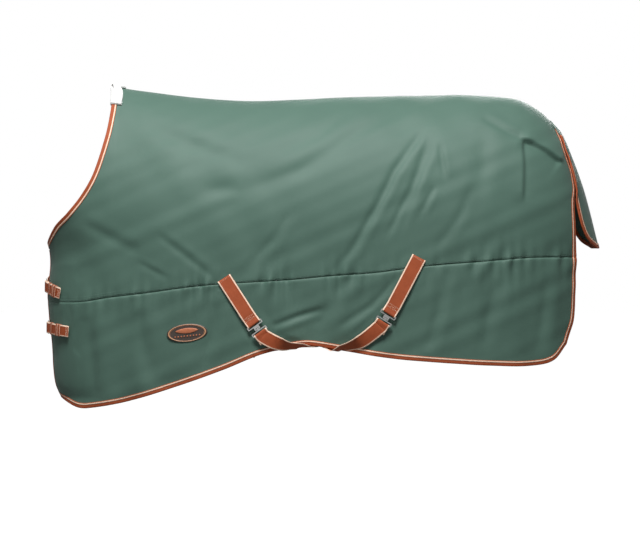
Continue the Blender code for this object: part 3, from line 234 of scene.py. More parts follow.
# finishes
clothFinish = {"deep": (0.044, 0.088, 0.068), "light": (0.055, 0.107, 0.083), "rough": 0.56,
               "sheen": 0.03, "pitch": 0.0011, "relief": 0.00012}
liningFinish = {"deep": (0.010, 0.013, 0.013), "light": (0.018, 0.023, 0.022), "rough": 0.5,
                "sheen": 0.1, "pitch": 0.0016, "relief": 0.00010}
webbingFinish = {"deep": (0.205, 0.040, 0.011), "light": (0.300, 0.064, 0.020), "rough": 0.62, "rib": 0.0022,
                 "relief": 0.00025}
creamFinish = {"deep": (0.60, 0.40, 0.29), "light": (0.76, 0.56, 0.44), "rough": 0.7, "rib": 0.0016,
               "relief": 0.0002}
threadFinish = {"deep": (0.060, 0.120, 0.092), "light": (0.13, 0.24, 0.19), "rough": 0.5}
fleeceFinish = {"deep": (0.50, 0.50, 0.49), "light": (0.66, 0.66, 0.65), "rough": 0.95}
steelFinish = {"deep": (0.62, 0.62, 0.60), "light": (0.90, 0.90, 0.88), "rough": (0.14, 0.30)}
leatherFinish = {"deep": (0.24, 0.070, 0.030), "light": (0.46, 0.15, 0.065), "rough": 0.5}


def startFinish(name):
    made = bpy.data.materials.new(name)
    made.use_nodes = True
    tree = made.node_tree
    place = tree.nodes.new("ShaderNodeTexCoord")
    return made, tree, tree.nodes["Principled BSDF"], place.outputs["Object"]


def useGroup(tree, group, **values):
    node = tree.nodes.new("ShaderNodeGroup")
    node.node_tree = group
    for label, value in values.items():
        socket = node.inputs[label.replace("_", " ")]
        if isinstance(value, (int, float)):
            socket.default_value = value
        elif isinstance(value, tuple):
            socket.default_value = (*value, 1)
        else:
            tree.links.new(value, socket)
    return node


def addRelief(tree, shader, height, distance, strength=1.0):
    bump = tree.nodes.new("ShaderNodeBump")
    bump.inputs["Distance"].default_value = distance
    bump.inputs["Strength"].default_value = strength
    tree.links.new(height, bump.inputs["Height"])
    tree.links.new(bump.outputs["Normal"], shader.inputs["Normal"])


def sewnMap(tree):
    node = tree.nodes.new("ShaderNodeUVMap")
    node.uv_map = "sewnMap"
    return node.outputs["UV"]


def clothMaterial(name, finish, dust):
    made, tree, shader, place = startFinish(name)
    weave = useGroup(tree, threadWeave, Sewn_Map=sewnMap(tree), Place=place, Pitch=finish["pitch"], Slub=0.5)
    tone = mixTone(tree, weave.outputs["Tone"], finish["deep"], finish["light"])
    worn = useGroup(tree, softWear, Place=place, Colour=tone, Dust=(0.10, 0.15, 0.12), Amount=dust)
    tree.links.new(worn.outputs["Colour"], shader.inputs["Base Color"])
    shader.inputs["Sheen Weight"].default_value = finish["sheen"]
    shader.inputs["Sheen Roughness"].default_value = 0.4
    shader.inputs["Specular IOR Level"].default_value = 0.26
    rough = mathNode(tree, "ADD", finish["rough"], mathNode(tree, "MULTIPLY", worn.outputs["Wear"], 0.4))
    tree.links.new(rough, shader.inputs["Roughness"])
    addRelief(tree, shader, weave.outputs["Thread"], finish["relief"])
    return made


def strapMaterial(name, finish):
    made, tree, shader, place = startFinish(name)
    weave = useGroup(tree, ribWeave, Strap_Map=sewnMap(tree), Rib=finish["rib"])
    tone = mixTone(tree, weave.outputs["Tone"], finish["deep"], finish["light"])
    worn = useGroup(tree, softWear, Place=place, Colour=tone, Dust=(0.38, 0.16, 0.09), Amount=0.05)
    tree.links.new(worn.outputs["Colour"], shader.inputs["Base Color"])
    shader.inputs["Specular IOR Level"].default_value = 0.22
    shader.inputs["Roughness"].default_value = finish["rough"]
    addRelief(tree, shader, weave.outputs["Thread"], finish["relief"])
    return made


def threadMaterial(name, finish):
    made, tree, shader, place = startFinish(name)
    tone = mixTone(tree, noiseNode(tree, place, 900.0, 2.0), finish["deep"], finish["light"])
    tree.links.new(tone, shader.inputs["Base Color"])
    shader.inputs["Roughness"].default_value = finish["rough"]
    addRelief(tree, shader, noiseNode(tree, place, 2600.0, 1.0), 0.0001)
    return made


def fleeceMaterial():
    made, tree, shader, place = startFinish("fleecePile")
    # one curl noise sets both the bump and the colour, so the curl hollows are painted darker: random curl
    # tone with painted shade in the hollows
    curlReliefAndShade = noiseNode(tree, place, 330.0, 4.0, 0.6)
    tone = mixTone(tree, curlReliefAndShade, fleeceFinish["deep"], fleeceFinish["light"])
    tree.links.new(tone, shader.inputs["Base Color"])
    shader.inputs["Roughness"].default_value = fleeceFinish["rough"]
    shader.inputs["Sheen Weight"].default_value = 0.4
    shader.inputs["Subsurface Weight"].default_value = 0.3
    shader.inputs["Subsurface Radius"].default_value = (0.008, 0.008, 0.008)
    addRelief(tree, shader, curlReliefAndShade, 0.0010)
    return made


def steelMaterial():
    made, tree, shader, place = startFinish("nickelledSteel")
    grain = noiseNode(tree, place, 480.0, 5.0, 0.65)
    cloud = noiseNode(tree, place, 60.0, 3.0)
    tone = mixTone(tree, cloud, steelFinish["deep"], steelFinish["light"])
    tree.links.new(tone, shader.inputs["Base Color"])
    shader.inputs["Metallic"].default_value = 1.0
    low, high = steelFinish["rough"]
    rough = mathNode(tree, "ADD", low, mathNode(tree, "MULTIPLY", grain, high - low))
    tree.links.new(rough, shader.inputs["Roughness"])
    addRelief(tree, shader, grain, 0.00006)
    return made


def leatherMaterial(name, deep, light):
    made, tree, shader, place = startFinish(name)
    cells = tree.nodes.new("ShaderNodeTexVoronoi")
    cells.inputs["Scale"].default_value = 620.0
    tree.links.new(place, cells.inputs["Vector"])
    cloud = noiseNode(tree, place, 70.0, 4.0)
    tone = mixTone(tree, cloud, deep, light)
    tree.links.new(tone, shader.inputs["Base Color"])
    shader.inputs["Roughness"].default_value = leatherFinish["rough"]
    addRelief(tree, shader, cells.outputs["Distance"], 0.0003)
    return made


greenCloth = clothMaterial("greenRipstop", clothFinish, 0.10)
darkLining = clothMaterial("darkLining", liningFinish, 0.05)
copperStrap = strapMaterial("copperWebbing", webbingFinish)
creamStripe = strapMaterial("creamStripe", creamFinish)
greenThread = threadMaterial("greenThread", threadFinish)
copperThread = threadMaterial("copperThread", {"deep": (0.42, 0.13, 0.05), "light": (0.62, 0.25, 0.12),
                                               "rough": 0.5})
whiteFleece = fleeceMaterial()
nickelSteel = steelMaterial()
patchLeather = leatherMaterial("patchLeather", leatherFinish["deep"], leatherFinish["light"])
patchDark = leatherMaterial("patchDark", (0.022, 0.016, 0.013), (0.05, 0.034, 0.026))
patchTan = leatherMaterial("patchTan", (0.34, 0.16, 0.075), (0.50, 0.27, 0.14))
print("finishes ready")


# the rug's pattern, as it is cut in the frame
pattern = {
    "topLine": [(-1.0, 0.170), (-0.80, 0.078), (-0.718, 0.046), (-0.695, 0.036), (-0.595, 0.021),
                (-0.42, 0.0),
                (-0.245, -0.0105), (-0.07, -0.005), (0.105, 0.0035), (0.28, 0.007), (0.49, 0.0105),
                (0.63, 0.0035), (0.70, -0.009), (0.77, -0.049), (0.8155, -0.0945), (0.845, -0.142),
                (0.875, -0.225), (0.905, -0.34)],
    "hem": [(-0.904, -1.041), (-0.835, -1.072), (-0.783, -1.071), (-0.654, -1.045), (-0.488, -0.993),
            (-0.325, -0.934), (-0.203, -0.884), (-0.09, -0.857), (-0.034, -0.852), (0.081, -0.870),
            (0.243, -0.896), (0.406, -0.910), (0.608, -0.922), (0.735, -0.921), (0.797, -0.903),
            (0.844, -0.852)],
    "sideSeam": [(-0.95, -0.712), (-0.82, -0.710), (-0.725, -0.695), (-0.603, -0.680), (-0.399, -0.653),
                 (-0.091, -0.632), (0.034, -0.620), (0.183, -0.609), (0.365, -0.586), (0.561, -0.570),
                 (0.705, -0.5585), (0.876, -0.556)],
    "neckline": [(-0.510, -0.950), (-0.4515, -0.914), (-0.406, -0.866), (-0.35, -0.820),
                 (-0.2765, -0.777), (-0.147, -0.737), (-0.06, -0.722), (0.0, -0.718), (0.046, -0.718)],
    "chestLine": [(-1.041, -0.904), (-0.9975, -0.923), (-0.938, -0.931), (-0.8575, -0.935),
                  (-0.712, -0.950), (-0.510, -0.950), (-0.35, -1.07), (0.0, -1.33), (0.20, -1.47)],
    "rearEdge": [(-0.852, 0.844), (-0.770, 0.868), (-0.645, 0.876), (-0.556, 0.876), (-0.367, 0.873),
                 (-0.322, 0.876), (-0.266, 0.868), (-0.223, 0.855), (-0.185, 0.842), (-0.144, 0.833),
                 (-0.0945, 0.8155)],
    "widthShare": [(-0.95, 0.78), (-0.70, 0.80), (-0.45, 0.90), (-0.10, 1.0), (0.35, 1.0),
                   (0.65, 0.96), (0.90, 0.92)],
    "backRound": [(-0.95, 1.7), (-0.70, 1.75), (-0.45, 1.95), (0.0, 2.15), (0.60, 2.2), (0.90, 2.1)],
    "halfWidth": 0.335, "depth": 1.107, "widest": -0.50, "tuck": 0.05, "chestCentre": -0.45,
    "chestRound": 2.2, "rumpCentre": 0.42, "rumpReach": 0.945, "rumpRound": 2.6,
    "withers": -0.718, "dock": 0.8155, "frontGap": 0.020,
}
layers = {"shell": 0.0012, "lining": 0.0008, "gap": 0.0005, "binding": 0.0012,
          "webbing": 0.0018}
near, off = -1, 1


def curveAt(points, at):
    points = sorted(points)
    xs = np.array([p[0] for p in points])
    ys = np.array([p[1] for p in points])
    slopes = np.empty(len(xs))
    slopes[1:-1] = (ys[2:] - ys[:-2]) / (xs[2:] - xs[:-2])
    slopes[0] = (ys[1] - ys[0]) / (xs[1] - xs[0])
    slopes[-1] = (ys[-1] - ys[-2]) / (xs[-1] - xs[-2])
    at = np.clip(np.asarray(at, float), xs[0], xs[-1])
    i = np.clip(np.searchsorted(xs, at, "right") - 1, 0, len(xs) - 2)
    span = xs[i + 1] - xs[i]
    t = (at - xs[i]) / span
    hold = (2 * t**3 - 3 * t**2 + 1) * ys[i] + (3 * t**2 - 2 * t**3) * ys[i + 1]
    return hold + span * ((t**3 - 2 * t**2 + t) * slopes[i] + (t**3 - t**2) * slopes[i + 1])


def rounded(share, power):
    share = np.clip(share, 0.0, 1.0)
    return (1 - share**power) ** (1 / power)


def halfWidth(x, z):
    x, z = np.asarray(x, float), np.asarray(z, float)
    top = curveAt(pattern["topLine"], x)
    back = rounded((z - pattern["widest"]) / (top - pattern["widest"]), curveAt(pattern["backRound"], x))
    centre = pattern["chestCentre"]
    chest = rounded((centre - x) / (centre - curveAt(pattern["chestLine"], z)), pattern["chestRound"])
    start = pattern["rumpCentre"]
    rump = rounded((x - start) / (pattern["rumpReach"] - start), pattern["rumpRound"])
    drop = np.maximum(0.0, (pattern["widest"] - z) / pattern["depth"])
    share = curveAt(pattern["widthShare"], x) * (1 - pattern["tuck"] * (2 * drop) ** 2)
    return pattern["halfWidth"] * share * back * chest * rump


def smoothStep(value):
    value = np.clip(value, 0.0, 1.0)
    return value * value * (3 - 2 * value)


def sidePoint(side, x, z, out=0.0):
    return Vector((x, side * (float(halfWidth(x, z)) + out), z))


# cloth grid
clothGrid = {"frontColumns": 74, "backColumns": 270, "upperRows": 108, "lowerRows": 62}
foldLines = [
    # path as (along, up), depth, half width
    {"path": [(-0.625, -0.086), (-0.489, -0.153), (-0.236, -0.244)], "depth": 0.0050, "width": 0.028},
    {"path": [(-0.439, -0.322), (-0.27, -0.329), (-0.068, -0.255), (0.034, -0.194), (0.27, -0.059)],
     "depth": 0.0060, "width": 0.026},
    {"path": [(0.371, -0.093), (0.253, -0.261), (0.203, -0.363), (0.108, -0.531), (0.034, -0.616)],
     "depth": 0.0062, "width": 0.014},
    {"path": [(0.378, -0.126), (0.304, -0.329), (0.219, -0.498)], "depth": 0.0050, "width": 0.012},
    {"path": [(0.392, -0.143), (0.338, -0.278), (0.27, -0.464)], "depth": 0.0050, "width": 0.013},
    {"path": [(0.405, -0.167), (0.422, -0.295)], "depth": 0.0036, "width": 0.010},
    {"path": [(0.388, -0.312), (0.338, -0.413)], "depth": 0.0034, "width": 0.010},
    {"path": [(-0.56, -0.474), (-0.459, -0.548), (-0.348, -0.636)], "depth": 0.0036, "width": 0.012},
    {"path": [(-0.625, -0.572), (-0.506, -0.633)], "depth": 0.0028, "width": 0.009},
    {"path": [(0.017, -0.727), (-0.08, -0.757), (-0.176, -0.795)], "depth": 0.0060, "width": 0.012},
    {"path": [(0.30, -0.60), (0.17, -0.72), (0.05, -0.80)], "depth": 0.0040, "width": 0.014},
    {"path": [(0.547, -0.072), (0.635, -0.123), (0.699, -0.155)], "depth": 0.0042, "width": 0.013},
    {"path": [(0.680, -0.148), (0.726, -0.163), (0.771, -0.189), (0.830, -0.232)], "depth": 0.0120,
     "width": 0.024, "step": True},
    {"path": [(0.690, -0.37), (0.694, -0.25), (0.694, -0.150)], "depth": 0.0052, "width": 0.036,
     "step": True},
    {"path": [(-0.83, -0.43), (-0.70, -0.50), (-0.60, -0.545)], "depth": 0.0036, "width": 0.018},
    {"path": [(-0.10, -0.40), (-0.16, -0.50), (-0.26, -0.60)], "depth": 0.0030, "width": 0.016},
    {"path": [(0.52, -0.30), (0.47, -0.42), (0.38, -0.54)], "depth": 0.0028, "width": 0.016},
    {"path": [(0.60, -0.62), (0.57, -0.75), (0.55, -0.88)], "depth": 0.0055, "width": 0.024},
    {"path": [(0.77, -0.60), (0.76, -0.75), (0.74, -0.88)], "depth": 0.0045, "width": 0.020},
    {"path": [(-0.62, -0.72), (-0.60, -0.85), (-0.57, -1.00)], "depth": 0.0055, "width": 0.026},
    {"path": [(-0.80, -0.74), (-0.79, -0.88), (-0.77, -1.05)], "depth": 0.0045, "width": 0.022},
    {"path": [(-0.35, -0.70), (-0.36, -0.80), (-0.40, -0.93)], "depth": 0.0045, "width": 0.020},
    {"path": [(0.42, -0.62), (0.40, -0.74), (0.36, -0.88)], "depth": 0.0050, "width": 0.020},
    {"path": [(0.10, -0.60), (0.04, -0.70), (-0.02, -0.80)], "depth": 0.0050, "width": 0.024},
    {"path": [(0.10, -0.05), (0.00, -0.14), (-0.16, -0.20)], "depth": 0.0034, "width": 0.022},
    {"path": [(0.56, -0.10), (0.55, -0.26), (0.50, -0.44)], "depth": 0.0040, "width": 0.030},
]
strapRests = {
    near: [[(-0.322, -0.645), (-0.212, -0.795), (-0.142, -0.862), (-0.05, -0.88)],
           [(0.334, -0.585), (0.222, -0.760), (0.110, -0.869), (0.02, -0.88)]],
    off: [[(0.334, -0.590), (0.272, -0.90)], [(-0.322, -0.670), (-0.272, -0.92)]],
}
seamGather = {"height": 0.0078, "reach": 0.028, "groove": 0.0020, "grooveWidth": 0.0042, "seed": 11}


def toPath(x, z, path):
    # signed distance to a broken line, and how far along it
    path = np.array(path, float)
    steps = np.hypot(*(path[1:] - path[:-1]).T)
    total = steps.sum()
    best = np.full(x.shape, 1e9)
    signed = np.zeros(x.shape)
    along = np.zeros(x.shape)
    done = 0.0
    for (x0, z0), (x1, z1), step in zip(path, path[1:], steps):
        ux, uz = (x1 - x0) / step, (z1 - z0) / step
        reach = np.clip((x - x0) * ux + (z - z0) * uz, 0, step)
        dx, dz = x - x0 - ux * reach, z - z0 - uz * reach
        far = np.hypot(dx, dz)
        closer = far < best
        best = np.where(closer, far, best)
        signed = np.where(closer, np.sign(ux * dz - uz * dx) * far, signed)
        along = np.where(closer, (done + reach) / total, along)
        done += step
    return signed, along


def ripple(at, seed, count, low, high):
    # sum of a few waves with seeded phases, about -1 to 1
    picker = np.random.default_rng(seed)
    total = np.zeros(np.shape(at))
    for _ in range(count):
        wave = picker.uniform(low, high)
        total += np.sin(2 * math.pi * at / wave + picker.uniform(0, 2 * math.pi))
    return total / math.sqrt(count)


def sculptCloth(side, x, y, z):
    lift = np.zeros(x.shape)
    for fold in foldLines:
        apart, share = toPath(x, z, fold["path"])
        fade = np.sin(math.pi * np.clip(share, 0.02, 0.98)) ** 0.6
        ends = np.clip(np.minimum(share, 1 - share) * 8, 0, 1)
        width = fold["width"]
        if "step" in fold:
            sharp = np.tanh(apart / 0.0045) * np.exp(-np.abs(apart) / width)
            lift += fold["depth"] * np.clip(np.minimum(share * 6, (1 - share) * 14), 0, 1) * sharp
            continue
        valley = -np.exp(-(apart / width) ** 2)
        ridge = 0.42 * np.exp(-((apart - 1.8 * width) / (1.2 * width)) ** 2)
        lift += fold["depth"] * fade * (0.4 + 0.6 * ends) * (valley + ridge)
    seam = curveAt(pattern["sideSeam"], x)
    below = seam - z
    gather = ripple(x, seamGather["seed"] + side, 7, 0.024, 0.046) * 0.55
    gather += ripple(x - 0.5 * z, seamGather["seed"] + 5 + side, 5, 0.045, 0.10) * 0.6
    gather = gather * (0.55 + 0.45 * ripple(x, seamGather["seed"] + 9 + side, 3, 0.15, 0.4))
    reach = np.where(below > 0, seamGather["reach"] * 1.5, seamGather["reach"])
    lift += seamGather["height"] * gather * np.exp(-np.abs(below) / reach)
    lift -= seamGather["groove"] * np.exp(-(below / seamGather["grooveWidth"]) ** 2)
    hang = smoothStep(below / 0.25)
    lift += 0.0030 * hang * ripple(x + 0.08 * z, 31 + side, 4, 0.11, 0.30)
    spine = smoothStep(np.abs(y) / 0.10)
    lift += 0.0010 * spine * ripple(x * 0.8 + z * 0.6, 41 + side, 5, 0.07, 0.20)
    lift += 0.0008 * spine * ripple(z * 0.9 - x * 0.4, 51 + side, 5, 0.05, 0.16)
    held = np.zeros(x.shape)
    for path in strapRests[side]:
        apart, _ = toPath(x, z, path)
        held = np.maximum(held, smoothStep((0.055 - np.abs(apart)) / 0.025))
    held = np.maximum(held, smoothStep((-0.76 - x) / 0.08) * smoothStep((-0.55 - z) / 0.05))
    held = np.maximum(held, smoothStep((x - 0.825) / 0.03) * smoothStep((z + 0.56) / 0.05))
    held = np.maximum(held, smoothStep((z + 0.13) / 0.03) * smoothStep((-0.60 - x) / 0.03))
    return lift * (1 - held) + np.clip(lift, -0.0012, 0.0005) * held


def patchBetween(top, bottom, shares):
    # rows from the top boundary to the bottom one, with both end edges followed
    (xTop, zTop), (xLow, zLow) = top, bottom
    t = np.asarray(shares)[:, None]
    x = xTop + (xLow - xTop) * t
    z = zTop + (zLow - zTop) * t
    share = (xLow - xLow[0]) / (xLow[-1] - xLow[0])
    for weight, curve, i in ((1 - share, pattern["chestLine"], 0), (share, pattern["rearEdge"], -1)):
        level = zTop[i] + (zLow[i] - zTop[i]) * t
        x = x + weight * (curveAt(curve, level) - (xTop[i] + (xLow[i] - xTop[i]) * t))
    return x, z


def clothSide(side):
    front = np.linspace(0, 1, clothGrid["frontColumns"], endpoint=False)
    back = np.linspace(0, 1, clothGrid["backColumns"])
    share = np.concatenate([front, back])
    isFront = np.arange(len(share)) < len(front)
    withers = pattern["withers"]

    def along(frontX, rearX):
        return np.where(isFront, frontX + (withers - frontX) * share**1.8,
                        withers + (rearX - withers) * share)

    neck = pattern["neckline"]
    neckUp = neck[0][0] + (neck[-1][0] - neck[0][0]) * share**1.4
    topX = along(0.0, pattern["dock"])
    topZ = np.where(isFront, neckUp, curveAt(pattern["topLine"], topX))
    topX = np.where(isFront, curveAt(neck, neckUp), topX)
    seamX = along(pattern["sideSeam"][0][0], pattern["sideSeam"][-1][0])
    seamZ = curveAt(pattern["sideSeam"], seamX)
    hemX = along(pattern["hem"][0][0], pattern["hem"][-1][0])
    hemZ = curveAt(pattern["hem"], hemX)
    rows = np.linspace(0, 1, clothGrid["upperRows"])
    rows = rows * 0.4 + 0.6 * rows**1.5
    xUp, zUp = patchBetween((topX, topZ), (seamX, seamZ), rows)
    xDown, zDown = patchBetween((seamX, seamZ), (hemX, hemZ), np.linspace(0, 1, clothGrid["lowerRows"]))
    x = np.vstack([xUp, xDown[1:]])
    z = np.vstack([zUp, zDown[1:]])
    flare = np.where(isFront, (1 - share) ** 2, 0.0)
    y = np.hypot(halfWidth(x, z), pattern["frontGap"] / 2 * flare)
    y[0, ~isFront] = 0.0
    place = np.stack([x, side * y, z], -1)
    facing = np.cross(np.gradient(place, axis=1), np.gradient(place, axis=0))
    if (facing[..., 1] * side).mean() < 0:
        facing = -facing
    facing[0, ~isFront, 1] = 0.0
    facing /= np.maximum(np.linalg.norm(facing, axis=-1, keepdims=True), 1e-12)
    lift = sculptCloth(side, x, y, z)
    lift[0, ~isFront] = sculptCloth(near, x[0, ~isFront], y[0, ~isFront], z[0, ~isFront])
    steps = np.linalg.norm(np.diff(place, axis=1), axis=-1)
    acrossMap = np.concatenate([np.zeros((len(place), 1)), np.cumsum(steps, 1)], 1)
    drops = np.linalg.norm(np.diff(place, axis=0), axis=-1)
    downMap = np.concatenate([np.zeros((1, place.shape[1])), np.cumsum(drops, 0)], 0)
    return {"place": place + facing * lift[..., None], "facing": facing, "front": int(isFront.sum()),
            "sewn": np.stack([acrossMap, downMap], -1)}


def makeMesh(name, points, faces, finishes, picks=None, sewn=None, smooth=True):
    mesh = bpy.data.meshes.new(name)
    mesh.from_pydata([tuple(p) for p in points], [], faces)
    for finish in finishes:
        mesh.materials.append(finish)
    if picks is not None:
        mesh.polygons.foreach_set("material_index", picks)
    if smooth:
        mesh.polygons.foreach_set("use_smooth", [True] * len(mesh.polygons))
    if sewn is not None:
        corner = np.empty(len(mesh.loops), np.int32)
        mesh.loops.foreach_get("vertex_index", corner)
        layer = mesh.uv_layers.new(name="sewnMap")
        layer.data.foreach_set("uv", np.asarray(sewn, np.float32)[corner].ravel())
    mesh.update()
    made = bpy.data.objects.new(name, mesh)
    bpy.context.scene.collection.objects.link(made)
    return made


def thicken(piece, thickness, offset=-1.0):
    layer = piece.modifiers.new("thickness", "SOLIDIFY")
    layer.thickness = thickness
    layer.offset = offset
    layer.use_even_offset = False
    layer.use_rim = True
    return piece


clothSides = {near: clothSide(near), off: clothSide(off)}
seamRow = clothGrid["upperRows"] - 1
lastRow = seamRow + clothGrid["lowerRows"] - 1
lastColumn = clothGrid["frontColumns"] + clothGrid["backColumns"] - 1
frontCount = clothGrid["frontColumns"]


def sheetMesh(name, sides, rows, depth, finish):
    # stretch of the cloth grid, moved in by depth; both sides share the spine points
    points, sewn, faces, numbers = [], [], [], {}
    for side in sides:
        data = clothSides[side]
        for row in rows:
            for column in range(lastColumn + 1):
                shared = row == 0 and column >= frontCount
                key = (0 if shared else side, row, column)
                if key in numbers:
                    continue
                numbers[key] = len(points)
                points.append(data["place"][row, column] - data["facing"][row, column] * depth)
                u, v = data["sewn"][row, column]
                sewn.append((u, v * side))
    for side in sides:
        for row in rows[:-1]:
            for column in range(lastColumn):
                corners = []
                for r, c in ((row, column), (row, column + 1), (row + 1, column + 1), (row + 1, column)):
                    shared = r == 0 and c >= frontCount
                    corners.append(numbers[(0 if shared else side, r, c)])
                faces.append(corners[::-1] if side == near else corners)
    return makeMesh(name, points, faces, [finish], sewn=sewn)


upperRows = list(range(seamRow + 1))
lowerRows = list(range(seamRow, lastRow + 1))
allRows = list(range(lastRow + 1))
shellUpper = sheetMesh("shellUpper", (near, off), upperRows, 0.0, greenCloth)
shellLowerLeft = sheetMesh("shellLowerLeft", (near,), lowerRows, 0.0, greenCloth)
shellLowerRight = sheetMesh("shellLowerRight", (off,), lowerRows, 0.0, greenCloth)
liningCloth = sheetMesh("liningCloth", (near, off), allRows, layers["shell"] + layers["gap"], darkLining)

skinPoints, skinFaces = [], []
for skinPiece in (shellUpper, shellLowerLeft, shellLowerRight):
    base = len(skinPoints)
    skinPoints += [vertex.co.copy() for vertex in skinPiece.data.vertices]
    skinFaces += [[base + i for i in face.vertices] for face in skinPiece.data.polygons]
clothTree = BVHTree.FromPolygons(skinPoints, skinFaces)
for piece, thickness in ((shellUpper, layers["shell"]), (shellLowerLeft, layers["shell"]),
                         (shellLowerRight, layers["shell"]), (liningCloth, layers["lining"])):
    thicken(piece, thickness)


def onCloth(point, out=0.0):
    # nearest point of the shell's outer face, and its outward direction
    place, normal, _, _ = clothTree.find_nearest(point)
    return place + normal * out, normal


# bindings round the cloth edges
bindingShape = {"width": 0.0165, "stripeFrom": 0.0100, "stripeTo": 0.0142, "over": 0.0005,
                "stitchIn": 0.0152}


def gridEdge(side, cellsList):
    data = clothSides[side]
    places = [Vector(data["place"][r, c]) for r, c in cellsList]
    normals = [Vector(data["facing"][r, c]) for r, c in cellsList]
    return places, normals


def evenly(places, normals, step):
    # the same path with even spacing
    lengths = [0.0]
    for a, b in zip(places, places[1:]):
        lengths.append(lengths[-1] + (b - a).length)
    count = max(2, int(lengths[-1] / step))
    wanted = np.linspace(0, lengths[-1], count + 1)
    at = np.array([list(p) for p in places])
    facing = np.array([list(n) for n in normals])
    spread = [np.interp(wanted, lengths, at[:, i]) for i in range(3)]
    turned = [np.interp(wanted, lengths, facing[:, i]) for i in range(3)]
    return ([Vector(p) for p in zip(*spread)], [Vector(n).normalized() for n in zip(*turned)])


def pathOutward(places, normals, inside, smoothing=5):
    # unit directions in the cloth, away from its inside
    found = []
    for i, place in enumerate(places):
        ahead = places[min(i + 1, len(places) - 1)] - places[max(i - 1, 0)]
        out = ahead.cross(normals[i]).normalized()
        if out.dot(inside[i] - place) > 0:
            out.negate()
        found.append(out)
    for _ in range(smoothing):
        found = [(found[max(i - 1, 0)] + found[i] * 2 + found[min(i + 1, len(found) - 1)]).normalized()
                 for i in range(len(found))]
    return found


def sweepLoops(name, loops, finishes, picks, closed, caps, sewn):
    # skin between successive rings of points
    size = len(loops[0])
    points = [p for ring in loops for p in ring]
    faces, slots = [], []
    for i in range(len(loops) - 1):
        for k in range(size if closed else size - 1):
            n = (k + 1) % size
            faces.append([i * size + k, i * size + n, (i + 1) * size + n, (i + 1) * size + k])
            slots.append(picks[k])
    if caps and closed:
        faces.append(list(range(size))[::-1])
        faces.append([(len(loops) - 1) * size + k for k in range(size)])
        slots += [picks[0]] * 2
    return makeMesh(name, points, faces, finishes, slots, sewn)


def faceOutward(piece):
    work = bmesh.new()
    work.from_mesh(piece.data)
    bmesh.ops.recalc_face_normals(work, faces=work.faces)
    work.to_mesh(piece.data)
    work.free()
    return piece


def bindEdge(name, path, normals, inside, surface, under, over):
    places, facing = evenly(path, normals, 0.004)
    insides, _ = evenly(inside, normals, 0.004)
    insides = [insides[min(int(i * len(insides) / len(places)), len(insides) - 1)]
               for i in range(len(places))]
    outward = pathOutward(places, facing, insides)
    thick = layers["binding"]
    width = bindingShape["width"]
    first, last = bindingShape["stripeTo"], bindingShape["stripeFrom"]
    overInsets = [(width, -0.0009), (width - 0.0005, -0.0002), (width - 0.0015, 0.0), (first + 0.0003, 0.0),
                  (first, 0.0004), ((first + last) / 2, 0.0006), (last, 0.0004), (last - 0.0003, 0.0),
                  (width * 0.4, 0.0003), (width * 0.15, 0.0002), (0.0, 0.0)]
    insets = [width, width - 0.0006, width * 0.7, width * 0.35, 0.0]
    loops, sewn, row = [], [], 0.0
    for i, (edge, normal, out) in enumerate(zip(places, facing, outward)):
        if i:
            row += (edge - places[i - 1]).length
        ring, mapped = [], []
        for inset, crown in overInsets:
            spot, up = surface(edge - out * inset)
            ring.append(spot + up * (over + thick + crown))
            mapped.append((row, inset))
        radius = (over + under) / 2 + thick
        for step in range(1, 6):
            angle = math.pi * step / 6
            middle = edge + normal * (over - under) / 2
            ring.append(middle + normal * math.cos(angle) * radius
                        + out * (math.sin(angle) * (thick + 0.0008)))
            mapped.append((row, -radius * step / 6))
        for inset in reversed(insets):
            spot, up = surface(edge - out * inset)
            ring.append(spot - up * (under + thick - (0.0008 if inset == width else 0.0)))
            mapped.append((row, -radius - inset))
        for inset in insets:
            spot, up = surface(edge - out * inset)
            ring.append(spot - up * under)
            mapped.append((row, inset))
        for inset in reversed(insets):
            spot, up = surface(edge - out * inset)
            ring.append(spot + up * over)
            mapped.append((row, inset))
        loops.append(ring)
        sewn += mapped
    picks = [0] * len(loops[0])
    for k in range(len(overInsets) - 1):
        middle = (overInsets[k][0] + overInsets[k + 1][0]) / 2
        if last < middle < first:
            picks[k] = 1
    binding = faceOutward(sweepLoops(name, loops, [copperStrap, creamStripe], picks, True, True, sewn))
    return binding, places, outward


def stitchRun(spots, pitch=0.0058):
    # list of (centre, direction, up) for stitches along a path of (place, up)
    found, carried = [], 0.0
    for (a, upA), (b, _) in zip(spots, spots[1:]):
        gap = (b - a).length
        if gap < 1e-7:
            continue
        ahead = (b - a) / gap
        at = pitch - carried
        while at <= gap:
            found.append((a + ahead * at, ahead, upA))
            at += pitch
        carried = (carried + gap) % pitch
    return found


def stitchMesh(name, stitches, finish, length=0.0036, radius=0.00042):
    points, faces = [], []
    for centre, ahead, up in stitches:
        aside = ahead.cross(up).normalized()
        base = len(points)
        for share, size in ((-0.5, 0.35), (-0.32, 1.0), (0.32, 1.0), (0.5, 0.35)):
            for k in range(5):
                angle = 2 * math.pi * k / 5
                points.append(centre + ahead * length * share + up * radius * size * (math.sin(angle) * 0.9)
                              + aside * radius * size * math.cos(angle))
        for ring in range(3):
            for k in range(5):
                n = (k + 1) % 5
                faces.append([base + ring * 5 + k, base + ring * 5 + n, base + ring * 5 + 5 + n,
                              base + ring * 5 + 5 + k])
        faces.append([base + k for k in range(5)][::-1])
        faces.append([base + 15 + k for k in range(5)])
    return faceOutward(makeMesh(name, points, faces, [finish]))


bindingUnder = layers["shell"] + layers["gap"] + layers["lining"] + layers["gap"]
bindings = {}
bindingStitches = []
pieceWords = {near: "Left", off: "Right"}
nodeWords = {near: "left", off: "right"}


def rowAtDrop(side, column, drop):
    data = clothSides[side]["place"]
    total = 0.0
    for row in range(1, lastRow):
        total += float(np.linalg.norm(data[row, column] - data[row - 1, column]))
        if total >= drop:
            return row
    return lastRow


